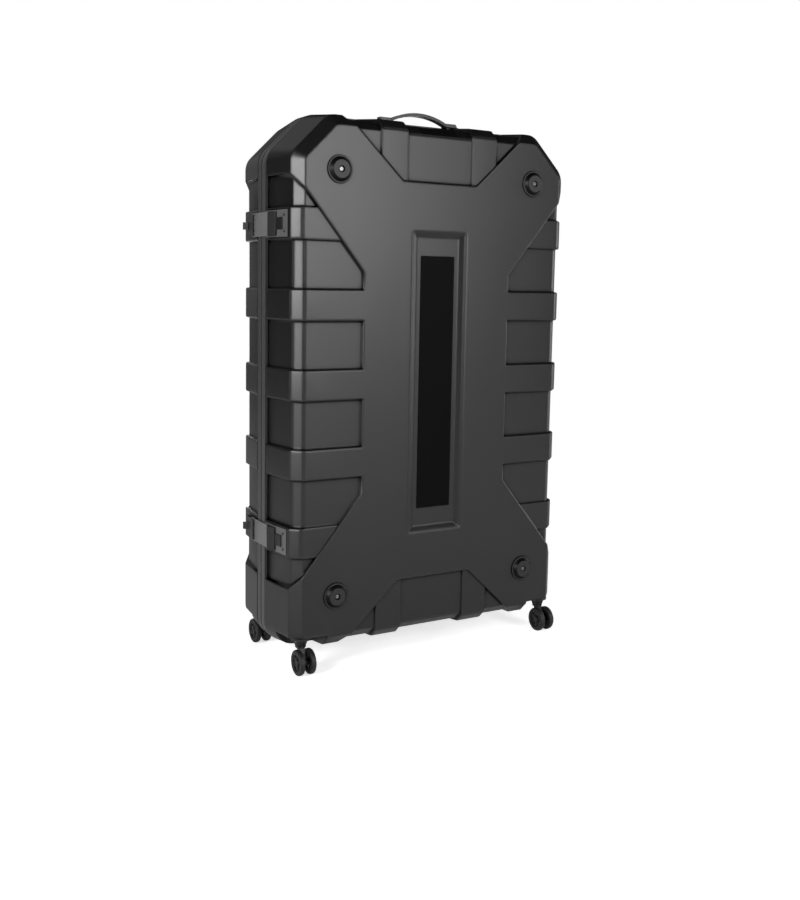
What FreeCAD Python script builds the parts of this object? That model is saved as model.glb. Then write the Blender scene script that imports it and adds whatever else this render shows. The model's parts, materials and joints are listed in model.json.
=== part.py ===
"""Hard-shell bike travel case: two ribbed half shells hinged on one long side, latched on the other.

The case stands on four twin-wheel casters. X runs across the case, Y from front to back and Z up,
with the origin on the floor under the middle of the seam. The front half swings about a vertical
hinge line on the +X side, and the two draw latches are on the -X side.
"""
import FreeCAD, Part
import math
import os
import re

import Sketcher

SIZES = {
    # Half shells: plain level, at the open edge
    "shell_width": 788,
    "shell_height": 1268,
    "floor_gap": 53,
    "shell_depth": 152,
    "shell_wall": 3,
    "straight_edge": 24,
    "wall_draft": 13,
    "face_bevel": 21,
    "top_corner": 98,
    "top_round": 50,
    "bottom_corner": 48,
    # Raised pattern: ribs, cross plate and end bands
    "rib_raise": 8,
    "rib_height": 74,
    "rib_pitch": 186.5,
    "rib_rise": 5,
    "waist_width": 420,
    "waist_height": 532,
    "arm_run": 180,
    "arm_rise": 218,
    "end_notch_width": 210,
    "end_notch_depth": 147,
    "end_notch_spread": 158,
    "channel_width": 182,
    "band_width": 74,
    "plate_step": 4,
    # Label recess and plates
    "label_width": 151,
    "label_height": 742,
    "label_depth": 10,
    "label_slope": 13,
    "plate_width": 96,
    "plate_height": 624,
    "plate_thickness": 1.5,
    "badge_width": 100,
    "badge_height": 20,
    "badge_thickness": 1.5,
    # Rim frames and seal
    "rim_reach": 22,
    "rim_seat": 6,
    "seam_gap": 3,
    "seal_width": 4,
    "seal_inset": 3,
    "seal_depth": 2.5,
    "fit_gap": 0.1,
    "rest_gap": 0.3,
    # How far cutting tools run past a surface, and past the whole case
    "cut_margin": 1,
    "cut_beyond": 60,
    # Bumper feet on both faces
    "foot_span_across": 553,
    "foot_span_up": 1006,
    "foot_flange": 64,
    "foot_flange_thickness": 3,
    "foot_waist": 56,
    "foot_top": 43,
    "foot_proud": 11.5,
    "foot_bore": 14,
    "foot_bore_depth": 5,
    # Screws
    "screw_shank": 4,
    "screw_head": 8.5,
    "screw_head_height": 2.4,
    "small_shank": 3,
    "small_head": 6,
    "small_head_height": 1.2,
    "side_screw_reach": 8,
    "drill_gap": 0.1,
    "head_room": 1,
    # Casters
    "caster_across": 712,
    "caster_deep": 266,
    "caster_trail": 19,
    "pan_inset": 58,
    "pan_height": 88,
    "wheel_diameter": 62,
    "wheel_width": 12,
    "wheel_pitch": 29,
    "tyre_thickness": 8,
    "hub_boss_wall": 4,
    "hub_rim_wall": 3,
    "hub_step": 1,
    "web_inner": 2.5,
    "web_outer": 3.5,
    "window_height": 6.5,
    "axle_diameter": 8,
    "fork_width": 14,
    "fork_boss": 18,
    "fork_disc": 26,
    "fork_disc_thickness": 3.2,
    "stem_diameter": 12,
    "stem_length": 21,
    "mount_flange": 48,
    "mount_flange_thickness": 6,
    "mount_neck": 36,
    "mount_tip": 26,
    "mount_height": 22,
    "mount_screw_circle": 41.6,
    "run_gap": 0.05,
    # Carry handle
    "handle_back": 41,
    "handle_span": 158,
    "handle_rise": 22,
    "strap_thickness": 7.5,
    "strap_width": 20,
    "cap_length": 32,
    "cap_width": 24,
    "cap_height": 9,
    "lug_diameter": 5,
    "lug_length": 14,
    "saddle_rise": 7,
    "saddle_margin": 3,
    # Draw latches
    "latch_height": 56,
    "latch_back": 34,
    "latch_out": 3.6,
    "latch_base_thickness": 1.5,
    "latch_base_length": 66,
    "lever_length": 56,
    "lever_skin": 2,
    "lever_top": 5,
    "lever_lip": 1.5,
    "lever_cheek": 3,
    "lever_floor": 2.6,
    "lever_barrel": 6,
    "tab_width": 18,
    "tab_foot": 12.8,
    "tab_tip": 3.2,
    "tab_rise": 14,
    "pivot_pin": 3,
    "ear_width": 6,
    "ear_thickness": 5,
    "ear_pitch": 26,
    "bail_thickness": 2,
    "bail_lift": 2.4,
    "bail_front": 49,
    "bail_back": 30.5,
    "bail_arm": 2.6,
    "bail_crank": 15,
    "bail_eye_wall": 0.8,
    "bail_overlap": 1,
    "trunnion_diameter": 3.6,
    "latch_screw_first": 26,
    "latch_screw_second": 46,
    "catch_front": 78,
    "catch_shelf": 36,
    "catch_rise": 9,
    "catch_tab_front": 104,
    "catch_tab_height": 28,
    "catch_plate_front": 124,
    "catch_plate_back": 27,
    "catch_plate_thickness": 1.2,
    "catch_plate_margin": 3,
    "catch_nose": 2,
    "catch_overlap": 1,
    "catch_screw_past": 7,
    # Hinges
    "hinge_height": 64,
    "hinge_out": 9,
    "hinge_barrel": 9.2,
    "hinge_pin": 4.4,
    "hinge_leaf": 2.5,
    "hinge_leaf_reach": 60,
    "leaf_screw_inset": 10,
    "knuckle_gap": 0.4,
    # Lining
    "pad_inset": 40,
    "pad_thickness": 20,
    "tie_pitch": 500,
    "tie_width": 38,
    "tie_thickness": 2,
    "tie_length": 640,
    "buckle_length": 64,
    "buckle_height": 50,
    "buckle_thickness": 10,
    "anchor_length": 30,
    "anchor_height": 48,
    "anchor_thickness": 3,
}

X_AXIS = FreeCAD.Vector(1, 0, 0)
Y_AXIS = FreeCAD.Vector(0, 1, 0)
Z_AXIS = FreeCAD.Vector(0, 0, 1)
FRONT = "front"
REAR = "rear"

doc = FreeCAD.newDocument("bike_travel_case")
sheet = doc.addObject("Spreadsheet::Sheet", "Sizes")
for row, (alias, size) in enumerate(SIZES.items(), start=1):
    sheet.set(f"A{row}", alias)
    sheet.set(f"B{row}", str(size))
    sheet.setAlias(f"B{row}", alias)
doc.recompute()

sub_parts = []


def formula(text):
    """The expression with every size name pointed at its cell of the sheet."""
    def cell(word):
        return f"Sizes.{word.group()}" if word.group() in SIZES else word.group()
    return re.sub(r"[a-z_]+", cell, text)


def value(text):
    """The number that an expression of sizes has now."""
    return float(sheet.evalExpression(formula(text)))


def bind(thing, **properties):
    """Tie properties to expressions of sizes; a double underscore stands for a dot."""
    for name, text in properties.items():
        thing.setExpression(name.replace("__", "."), formula(text))
    return thing


def keep(thing, label):
    """Name a finished sub-part, which is written to a file of that name."""
    thing.Label = label
    sub_parts.append(thing)
    return thing


def draw(sketch, corners):
    """Draw a closed outline of straight lines, with both coordinates of each corner tied to sizes."""
    first = sketch.GeometryCount
    points = [FreeCAD.Vector(value(across), value(up), 0) for across, up in corners]
    count = len(points)
    for index, point in enumerate(points):
        sketch.addGeometry(Part.LineSegment(point, points[(index + 1) % count]))
    for index, (across, up) in enumerate(corners):
        line = first + index
        sketch.addConstraint(Sketcher.Constraint("Coincident", line, 2, first + (index + 1) % count, 1))
        place(sketch, line, 1, across, up)


def place(sketch, geometry, end, across, up):
    """Tie one point of a sketch to two expressions of sizes."""
    for kind, text in (("DistanceX", across), ("DistanceY", up)):
        constraint = sketch.addConstraint(Sketcher.Constraint(kind, geometry, end, value(text)))
        sketch.setExpression(f"Constraints[{constraint}]", formula(text))


PLANES = {
    "XY": (FreeCAD.Rotation(), Z_AXIS, "z"),
    "XZ": (FreeCAD.Rotation(X_AXIS, 90), Y_AXIS, "y"),
    "YZ": (FreeCAD.Rotation(FreeCAD.Vector(1, 1, 1), 120), X_AXIS, "x"),
}


def prism(name, plane, outlines, start, end):
    """Extrude straight-sided outlines of a plane from start to end along its normal axis."""
    rotation, direction, axis = PLANES[plane]
    sketch = doc.addObject("Sketcher::SketchObject", f"{name}_sketch")
    sketch.Placement = FreeCAD.Placement(FreeCAD.Vector(), rotation)
    bind(sketch, **{f"Placement__Base__{axis}": start})
    for corners in outlines:
        draw(sketch, corners)
    return extrude(name, sketch, direction, f"({end}) - ({start})")


def extrude(name, profile, direction, length):
    """Extrude a closed profile along a direction."""
    solid = doc.addObject("Part::Extrusion", name)
    solid.Base = profile
    solid.DirMode = "Custom"
    solid.Dir = direction
    solid.Solid = True
    return bind(solid, LengthFwd=length)


def block(name, across, back, up):
    """A box between pairs of expressions along X, Y and Z."""
    box = doc.addObject("Part::Box", name)
    spans = (across, back, up)
    for side, axis, (low, high) in zip(("Length", "Width", "Height"), "xyz", spans):
        bind(box, **{side: f"({high}) - ({low})", f"Placement__Base__{axis}": low})
    return box


TURNS = {
    "x": FreeCAD.Rotation(Y_AXIS, 90),
    "y": FreeCAD.Rotation(X_AXIS, -90),
    "z": FreeCAD.Rotation(),
}


def rod(name, axis, diameter, span, centre):
    """A cylinder along an axis between two expressions, about the point (x, y, z) of expressions."""
    cylinder = doc.addObject("Part::Cylinder", name)
    cylinder.Placement = FreeCAD.Placement(FreeCAD.Vector(), TURNS[axis])
    seat_round(cylinder, axis, span, centre)
    return bind(cylinder, Radius=f"({diameter}) / 2")


def taper(name, axis, diameters, span, centre):
    """A cone along an axis, with its diameter at the start and at the end of the span."""
    cone = doc.addObject("Part::Cone", name)
    cone.Placement = FreeCAD.Placement(FreeCAD.Vector(), TURNS[axis])
    seat_round(cone, axis, span, centre)
    return bind(cone, Radius1=f"({diameters[0]}) / 2", Radius2=f"({diameters[1]}) / 2")


def seat_round(solid, axis, span, centre):
    """Set the height and place of a round solid from its span along an axis."""
    low, high = span
    bind(solid, Height=f"({high}) - ({low})")
    for name, text in zip("xyz", centre):
        bind(solid, **{f"Placement__Base__{name}": low if name == axis else text})


def cut(name, base, *tools):
    """The base less the tools."""
    result = doc.addObject("Part::Cut", name)
    result.Base = base
    result.Tool = tools[0] if len(tools) == 1 else group(f"{name}_tools", *tools)
    return result


def fuse(name, *shapes):
    """All the shapes as one solid."""
    result = doc.addObject("Part::MultiFuse", name)
    result.Shapes = list(shapes)
    result.Refine = True
    return result


def group(name, *shapes):
    """The shapes side by side as separate solids of one object."""
    result = doc.addObject("Part::Compound", name)
    result.Links = list(shapes)
    return result


def mirror(name, source, normal):
    """The source mirrored in the plane through the origin with that normal."""
    result = doc.addObject("Part::Mirroring", name)
    result.Source = source
    result.Normal = normal
    return result


def body_sketch(body, name, role, offset="0"):
    """A sketch on one of a body's own origin planes, moved along its normal."""
    sketch = body.newObject("Sketcher::SketchObject", name)
    plane = next(feature for feature in body.Origin.OriginFeatures if feature.Role == role)
    sketch.AttachmentSupport = (plane, [""])
    sketch.MapMode = "FlatFace"
    return bind(sketch, AttachmentOffset__Base__z=offset)


def turned(name, corners, axis):
    """A body turned about X or Y from a profile whose other coordinate is its radius."""
    body = doc.addObject("PartDesign::Body", name)
    sketch = body_sketch(body, f"{name}_profile", "XY_Plane")
    draw(sketch, corners)
    revolution = body.newObject("PartDesign::Revolution", f"{name}_turned")
    revolution.Profile = sketch
    revolution.ReferenceAxis = (sketch, ["H_Axis" if axis == "x" else "V_Axis"])
    revolution.Angle = 360
    return body


# Places shared by several sub-parts, as expressions of sizes
HALF = "shell_width / 2"
TOP = "(floor_gap + shell_height)"
MIDDLE = "(floor_gap + shell_height / 2)"
RIB_MIDDLE = "(floor_gap + shell_height / 2 + rib_rise)"
FACE = "(shell_depth + rib_raise)"
SIDE = "(shell_width / 2 + rib_raise)"
OUTSIDE = "(shell_width / 2 + cut_beyond)"
CORNER_SHARE = math.sqrt(2) - 1
CHAMFER_SHARE = 2 - math.sqrt(2)
RIB_SLOPE = f"(wall_draft / (shell_depth - face_bevel + rib_raise * {CORNER_SHARE} - straight_edge))"


def side_at(back):
    """Half width over the ribs at a distance from the seam."""
    return f"({SIDE} - {RIB_SLOPE} * (({back}) - straight_edge))"


def case_outline(sketch, shrink):
    """The case's outline seen from the front, inside the plain edge by shrink.

    The top corners are cut at 45 degrees with rounded ends, and the bottom corners are round.
    """
    half = f"({HALF} - ({shrink}))"
    low = f"(floor_gap + ({shrink}))"
    high = f"({TOP} - ({shrink}))"
    cut_corner = f"(top_corner - {CHAMFER_SHARE} * ({shrink}))"
    bottom, top = f"(bottom_corner - ({shrink}))", f"(top_round - ({shrink}))"
    tangent = f"({CORNER_SHARE} * {top})"
    slant = f"({tangent} / {math.sqrt(2)})"
    foot = (f"({half} - {bottom})", low)
    heel = (half, f"{low} + {bottom}")
    side_end = (half, f"{high} - {cut_corner} - {tangent}")
    cut_start = (f"({half} - {slant})", f"{high} - {cut_corner} + {slant}")
    cut_end = (f"({half} - {cut_corner} + {slant})", f"{high} - {slant}")
    crown = (f"({half} - {cut_corner} - {tangent})", high)
    right = [foot, heel, side_end, cut_start, cut_end, crown]
    corners = right + [(f"-{across}", up) for across, up in reversed(right)]
    centres = {
        0: (foot[0], heel[1], bottom, 1.5, 0.5),
        2: (f"({half} - {top})", side_end[1], top, 0, 0.25),
        4: (crown[0], f"{high} - {top}", top, 0.25, 0.25),
        6: (f"-{crown[0]}", f"{high} - {top}", top, 0.5, 0.25),
        8: (f"-({half} - {top})", side_end[1], top, 0.75, 0.25),
        10: (f"-{foot[0]}", heel[1], bottom, 1, 0.5),
    }
    points = [FreeCAD.Vector(value(across), value(up), 0) for across, up in corners]
    count = len(points)
    for index, point in enumerate(points):
        if index in centres:
            across, up, radius, begin, turn = centres[index]
            circle = Part.Circle(FreeCAD.Vector(value(across), value(up), 0), Z_AXIS, value(radius))
            sketch.addGeometry(Part.ArcOfCircle(circle, begin * math.pi, (begin + turn) * math.pi))
        else:
            sketch.addGeometry(Part.LineSegment(point, points[(index + 1) % count]))
    for index, (across, up) in enumerate(corners):
        sketch.addConstraint(Sketcher.Constraint("Coincident", index, 2, (index + 1) % count, 1))
        place(sketch, index, 1, across, up)
    for index, (across, up, radius, begin, turn) in centres.items():
        constraint = sketch.addConstraint(Sketcher.Constraint("Radius", index, value(radius)))
        sketch.setExpression(f"Constraints[{constraint}]", formula(radius))


def half_block(name, level, edges):
    """The front half's form at a level above the plain one, from the given edge planes to its face."""
    body = doc.addObject("PartDesign::Body", name)
    shoulder = f"shell_depth - face_bevel + {CORNER_SHARE} * ({level})"
    sections = [(edge, f"-({level})") for edge in edges]
    sections.append((shoulder, f"wall_draft - ({level})"))
    sections.append((f"shell_depth + ({level})", f"wall_draft + face_bevel - {CORNER_SHARE} * ({level})"))
    sketches = []
    for index, (offset, shrink) in enumerate(sections):
        sketch = body_sketch(body, f"{name}_section_{index}", "XZ_Plane", offset)
        case_outline(sketch, shrink)
        sketches.append(sketch)
    loft = body.newObject("PartDesign::AdditiveLoft", f"{name}_loft")
    loft.Profile = sketches[0]
    loft.Sections = sketches[1:]
    loft.Ruled = True
    return body


def arm_edge(height, grow):
    """Half width of the cross plate's arms at a height above the ribs' middle, inside a margin."""
    slope = "(arm_rise / arm_run)"
    lean = f"(sqrt(1 + {slope} ^ 2) / {slope})"
    return f"(waist_width / 2 - ({grow}) * {lean} + (({height}) - waist_height / 2) / {slope})"


def side_outlines(panels):
    """Outlines at all four corners of the front, from outlines in the upper right corner."""
    return [
        [(f"{side} * ({across})", f"({RIB_MIDDLE} + {up} * ({height}))") for across, height in panel]
        for up in (1, -1) for side in (1, -1) for panel in panels
    ]


def end_outlines(panels):
    """Outlines at the top and bottom ends of the front, from outlines at the top end."""
    return [
        [(across, f"({MIDDLE} + {up} * ({height}))") for across, height in panel]
        for up in (1, -1) for panel in panels
    ]


TIP = "(waist_height / 2 + arm_rise)"
LATCH_RIB_START = "(rib_pitch * 2 - rib_height / 2)"
NOTCH_FLOOR = "(shell_height / 2 - end_notch_depth)"
NOTCH_SLOPE = "(end_notch_depth / end_notch_spread)"
NOTCH_LEAN = f"(sqrt(1 + {NOTCH_SLOPE} ^ 2) / {NOTCH_SLOPE})"
PAST_END = "(shell_height / 2 + cut_beyond)"


def notch_foot(grow):
    """Half width of the end notch beyond the case's end, grown by a margin."""
    return f"(end_notch_width / 2 + ({grow}) * {NOTCH_LEAN} + ({PAST_END} - {NOTCH_FLOOR}) / {NOTCH_SLOPE})"


def pocket_outlines(grow):
    """Outlines of the sunk panels seen from the front, each grown by a margin on all sides.

    The ribs, the cross plate's arms and waist, and the two bands at each end stand between them.
    """
    waist = f"(waist_width / 2 - ({grow}))"
    slope = "(arm_rise / arm_run)"
    knee = f"(waist_height / 2 + ({grow}) * (sqrt(1 + {slope} ^ 2) - {slope}))"
    low, high = f"(rib_height / 2 - ({grow}))", f"(rib_pitch - rib_height / 2 + ({grow}))"
    inner = f"(rib_pitch + rib_height / 2 - ({grow}))"
    outer = f"({LATCH_RIB_START} + ({grow}))"
    last = f"(rib_pitch * 2 + rib_height / 2 - ({grow}))"
    tip = f"({TIP} + ({grow}))"
    panels = [
        [(waist, low), (waist, high), (OUTSIDE, high), (OUTSIDE, low)],
        [
            (waist, inner), (waist, knee), (arm_edge(outer, grow), outer), (OUTSIDE, outer), (OUTSIDE, inner),
        ],
        [(arm_edge(last, grow), last), (arm_edge(tip, grow), tip), (OUTSIDE, tip), (OUTSIDE, last)],
    ]
    floor = f"({NOTCH_FLOOR} - ({grow}))"
    channel = f"(channel_width / 2 + ({grow}))"
    band = f"(channel_width / 2 + band_width - ({grow}))"
    band_end = f"({NOTCH_FLOOR} + ({band} - end_notch_width / 2 - ({grow}) * {NOTCH_LEAN}) * {NOTCH_SLOPE})"
    corner_panel = [(band, band_end), (notch_foot(grow), PAST_END), (band, PAST_END)]
    end_panels = [
        [(f"-{channel}", floor), (channel, floor), (channel, PAST_END), (f"-{channel}", PAST_END)],
        corner_panel,
        [(f"-{across}", height) for across, height in corner_panel],
    ]
    return side_outlines(panels) + end_outlines(end_panels)


def step_outlines(grow):
    """Outlines beside the cross plate where the latch ribs and the bands lie lower than the plate."""
    low, tip = f"({LATCH_RIB_START} - ({grow}))", f"({TIP} + ({grow}))"
    beside_arm = [(arm_edge(low, grow), low), (arm_edge(tip, grow), tip), (OUTSIDE, tip), (OUTSIDE, low)]
    start = f"(end_notch_width / 2 + ({grow}) * ({NOTCH_LEAN} - 1 / {NOTCH_SLOPE}))"
    floor = f"({NOTCH_FLOOR} - ({grow}))"
    foot = notch_foot(grow)
    notch = [(f"-{start}", floor), (start, floor), (foot, PAST_END), (f"-{foot}", PAST_END)]
    return side_outlines([beside_arm]) + end_outlines([notch])


def drill(name, axis, shank, span, centre):
    """A cylinder that clears a screw's shank, for cutting a hole."""
    return rod(name, axis, f"{shank} + 2 * drill_gap", span, centre)


def screw(name, axis, sizes, seat, head_way, reach, centre):
    """A round-head screw whose head sits on a seat plane and whose shank runs the other way."""
    shank, head, head_height = sizes
    if head_way > 0:
        head_span, shank_span = (seat, f"{seat} + {head_height}"), (f"{seat} - ({reach})", seat)
    else:
        head_span, shank_span = (f"{seat} - {head_height}", seat), (seat, f"{seat} + ({reach})")
    return fuse(
        name,
        rod(f"{name}_head", axis, head, head_span, centre),
        rod(f"{name}_shank", axis, shank, shank_span, centre),
    )


LARGE_SCREW = ("screw_shank", "screw_head", "screw_head_height")
SMALL_SCREW = ("small_shank", "small_head", "small_head_height")
CORNERS = [(side, way) for way in (-1, 1) for side in (-1, 1)]
CORNER_NAMES = {(-1, -1): "front_left", (1, -1): "front_right", (-1, 1): "rear_left", (1, 1): "rear_right"}


def make_half_shell():
    """One half shell, the front one, with its ribs and caster pans, and the plain space inside it."""
    plain = half_block("plain_form", "0", ["rim_seat + fit_gap", "straight_edge"])
    raised = half_block("raised_form", "rib_raise", ["straight_edge"])
    deep = f"-({FACE} + cut_beyond)"
    pockets = prism("pockets", "XZ", pocket_outlines("0"), deep, "0")
    steps = prism("steps", "XZ", step_outlines("0"), deep, f"-({FACE} - plate_step)")
    skin = fuse("skin", plain, cut("raised_pattern", raised, pockets, steps))
    hollow = half_block("hollow_form", "-shell_wall", ["0", "straight_edge"])
    rib_hollow = half_block("rib_hollow_form", "rib_raise - shell_wall", ["straight_edge + shell_wall"])
    grown_pockets = prism("grown_pockets", "XZ", pocket_outlines("shell_wall"), deep, "0")
    grown_steps = prism(
        "grown_steps", "XZ", step_outlines("shell_wall"), deep, f"-({FACE} - plate_step - shell_wall)",
    )
    cavity = fuse("cavity", hollow, cut("rib_hollows", rib_hollow, grown_pockets, grown_steps))
    pans, pan_walls = [], []
    for side in (-1, 1):
        name = "left" if side < 0 else "right"
        pans.append(caster_pan(f"{name}_pan", side, "0"))
        pan_walls.append(caster_pan(f"{name}_pan_wall", side, "shell_wall"))
    shell = cut("hollow_shell", skin, cut("trimmed_cavity", cavity, *pan_walls))
    return cut("half_shell", shell, *pans), hollow


def caster_pan(name, side, grow):
    """The corner space under the front half in which a caster swings, grown by a margin."""
    inner = f"(caster_across / 2 - pan_inset - ({grow}))"
    near = f"(caster_deep / 2 - pan_inset - ({grow}))"
    across = (inner, OUTSIDE) if side > 0 else (f"-{OUTSIDE}", f"-{inner}")
    return block(name, across, (f"-({FACE} + cut_beyond)", f"-{near}"), ("0", f"pan_height + ({grow})"))


def label_form(name, grow, depth):
    """A shallow pan with sloping walls that opens in the front of the cross plate."""
    body = doc.addObject("PartDesign::Body", name)
    sketches = []
    for index, (offset, inset) in enumerate(((FACE, "0"), (f"{FACE} - ({depth})", "label_slope"))):
        half = f"(label_width / 2 + ({grow}) - {inset})"
        rise = f"(label_height / 2 + ({grow}) - {inset})"
        sketch = body_sketch(body, f"{name}_section_{index}", "XZ_Plane", offset)
        draw(sketch, [
            (f"-{half}", f"{MIDDLE} - {rise}"), (half, f"{MIDDLE} - {rise}"),
            (half, f"{MIDDLE} + {rise}"), (f"-{half}", f"{MIDDLE} + {rise}"),
        ])
        sketches.append(sketch)
    loft = body.newObject("PartDesign::AdditiveLoft", f"{name}_loft")
    loft.Profile = sketches[0]
    loft.Sections = sketches[1:]
    loft.Ruled = True
    return body


HANDLE_SEAT = f"({TOP} + saddle_rise)"
CAP_START = "(handle_span / 2)"
CAP_END = "(handle_span / 2 + cap_length)"


def across_span(side, low, high):
    """A span of X on the right (1) or left (-1) side."""
    return (low, high) if side > 0 else (f"-({high})", f"-({low})")


BAY_START = f"({CAP_START} + rest_gap)"
BAY_END = f"({CAP_END} + saddle_margin)"
BAY_HALF = "(cap_width / 2 + saddle_margin)"


def make_saddle(name, side):
    """The seat under one end of the handle, and the wall round its bay where it cuts into a band."""
    back = (f"-(handle_back + {BAY_HALF})", f"-(handle_back - {BAY_HALF})")
    floor = f"{TOP} - wall_draft"
    seat = block(f"{name}_seat", across_span(side, BAY_START, BAY_END), back, (floor, HANDLE_SEAT))
    near, far = "straight_edge", f"(handle_back + {BAY_HALF} + shell_wall)"

    def crest(back):
        return f"{TOP} + rib_raise - shell_wall / 2 - {RIB_SLOPE} * ({back} - straight_edge)"

    wall = prism(f"{name}_bay_wall", "YZ", [[
        (f"-{far}", floor), (f"-{near}", floor), (f"-{near}", crest(near)), (f"-{far}", crest(far)),
    ]], *across_span(side, "channel_width / 2 + shell_wall / 2", f"{BAY_END} + shell_wall"))
    bay = block(
        f"{name}_bay", across_span(side, BAY_START, BAY_END), back, (HANDLE_SEAT, f"{TOP} + cut_beyond"),
    )
    return seat, wall, bay


def make_shells(front_holes, rear_holes):
    """The two half shells, with every screw hole."""
    half, hollow = make_half_shell()
    solids, bays = [], []
    for name, side in (("left", -1), ("right", 1)):
        seat, wall, bay = make_saddle(f"{name}_saddle", side)
        solids += [cut(f"{name}_seat_cut", seat, hollow), cut(f"{name}_wall_cut", wall, hollow)]
        bays.append(bay)
    pan = label_form("label_pan", "shell_wall", "label_depth + shell_wall")
    recess = label_form("label_recess", "0", "label_depth")
    front = fuse("front_form", half, pan, *solids)
    keep(cut("front_shell_cut", front, recess, *bays, *front_holes), "front_shell")
    rear = mirror("rear_form", half, Y_AXIS)
    keep(cut("rear_shell_cut", rear, *rear_holes), "rear_shell")


def outline_ring(name, levels, span):
    """A ring between two levels of the case's outline, from one plane to another in front of the seam."""
    near, far = span
    solids = []
    for part, level in zip(("outer", "inner"), levels):
        body = doc.addObject("PartDesign::Body", f"{name}_{part}")
        sketch = body_sketch(body, f"{name}_{part}_sketch", "XZ_Plane", near)
        case_outline(sketch, f"-({level})")
        pad = body.newObject("PartDesign::Pad", f"{name}_{part}_pad")
        pad.Profile = sketch
        bind(pad, Length=f"({far}) - ({near})")
        solids.append(body)
    return cut(name, *solids)


def make_rims():
    """The stiff frames round both open edges, and the seal in the rear one."""
    cover = outline_ring("rim_cover", ("rib_raise", "-shell_wall"), ("seam_gap / 2", "rim_seat"))
    skirt = outline_ring("rim_skirt", ("rib_raise", "fit_gap"), ("rim_seat", "rim_reach"))
    rim = fuse("rim_form", cover, skirt)
    keep(group("front_rim_form", rim), "front_rim")
    seal_levels = ("rib_raise - seal_inset", "rib_raise - seal_inset - seal_width")
    groove_levels = ("rib_raise - seal_inset + fit_gap", "rib_raise - seal_inset - seal_width - fit_gap")
    groove_floor = "seam_gap / 2 + seal_depth"
    groove = outline_ring("seal_groove", groove_levels, ("0", groove_floor))
    keep(mirror("rear_rim_form", cut("grooved_rim", rim, groove), Y_AXIS), "rear_rim")
    front_lip = "-(seam_gap / 2 - rest_gap)"
    seal = outline_ring("seal_form", seal_levels, (front_lip, f"{groove_floor} - fit_gap"))
    keep(mirror("seal_mirrored", seal, Y_AXIS), "rim_seal")


def make_plates():
    """The bare plate in the label recess and the small bare plate on the top bevel."""
    floor = f"-({FACE} - label_depth)"
    rise = "plate_height / 2"
    plate = block(
        "label_plate_form", ("-plate_width / 2", "plate_width / 2"),
        (f"{floor} - plate_thickness", floor), (f"{MIDDLE} - {rise}", f"{MIDDLE} + {rise}"),
    )
    keep(plate, "label_plate")
    badge = doc.addObject("Part::Box", "badge_form")
    badge.Placement = FreeCAD.Placement(FreeCAD.Vector(), FreeCAD.Rotation(X_AXIS, 45))
    bevel_back = "(shell_depth - face_bevel / 2)"
    bevel_up = f"({TOP} - wall_draft - face_bevel / 2)"
    lean = f"badge_height / 2 / {math.sqrt(2)}"
    bind(
        badge, Length="badge_width", Width="badge_height", Height="badge_thickness",
        Placement__Base__x="-badge_width / 2",
        Placement__Base__y=f"-{bevel_back} - {lean}",
        Placement__Base__z=f"{bevel_up} - {lean}",
    )
    keep(badge, "badge_plate")


def foot_places():
    """Sign pairs and centres of the four feet on a face, seen from the front."""
    for side in (-1, 1):
        for up in (-1, 1):
            yield f"{side} * foot_span_across / 2", f"{MIDDLE} + {up} * foot_span_up / 2"


def make_feet(half):
    """Four bumper feet on one face of the case, their screws, and the holes for them."""
    way = -1 if half == FRONT else 1
    flange = "foot_flange / 2"
    rim = "foot_flange_thickness"
    corners = [
        ("screw_shank / 2 + drill_gap", "0"), (flange, "0"), (flange, f"-{rim}"),
        ("foot_waist / 2", f"-{rim}"), ("foot_top / 2", "-foot_proud"), ("foot_bore / 2", "-foot_proud"),
        ("foot_bore / 2", "-foot_proud + foot_bore_depth"),
        ("screw_shank / 2 + drill_gap", "-foot_proud + foot_bore_depth"),
    ]
    if way > 0:
        corners = [(across, f"-({out})") for across, out in corners]
    foot = turned(f"{half}_foot", corners, "y")
    feet, screws, holes = [], [], []
    for index, (across, up) in enumerate(foot_places()):
        copy = group(f"{half}_foot_{index}", foot)
        bind(copy, Placement__Base__x=across, Placement__Base__y=f"{way} * {FACE}", Placement__Base__z=up)
        feet.append(copy)
        seat = f"{way} * ({FACE} + foot_proud - foot_bore_depth)"
        reach = "foot_proud - foot_bore_depth + shell_wall + rest_gap"
        centre = (across, "0", up)
        screws.append(screw(f"{half}_foot_screw_{index}", "y", LARGE_SCREW, seat, way, reach, centre))
        span = [f"{way} * ({FACE} + cut_margin)", f"{way} * ({FACE} - shell_wall - cut_margin)"]
        if way > 0:
            span.reverse()
        holes.append(drill(f"{half}_foot_hole_{index}", "y", "screw_shank", span, centre))
    keep(group(f"{half}_feet_group", *feet), f"{half}_feet")
    keep(group(f"{half}_foot_screw_group", *screws), f"{half}_foot_screws")
    return holes


AXLE_UP = "(wheel_diameter / 2)"
MOUNT_FLOOR = "(pan_height - mount_height)"
FORK_TOP = f"({MOUNT_FLOOR} - rest_gap)"
FORK_DISC_FLOOR = f"({FORK_TOP} - fork_disc_thickness)"


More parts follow.
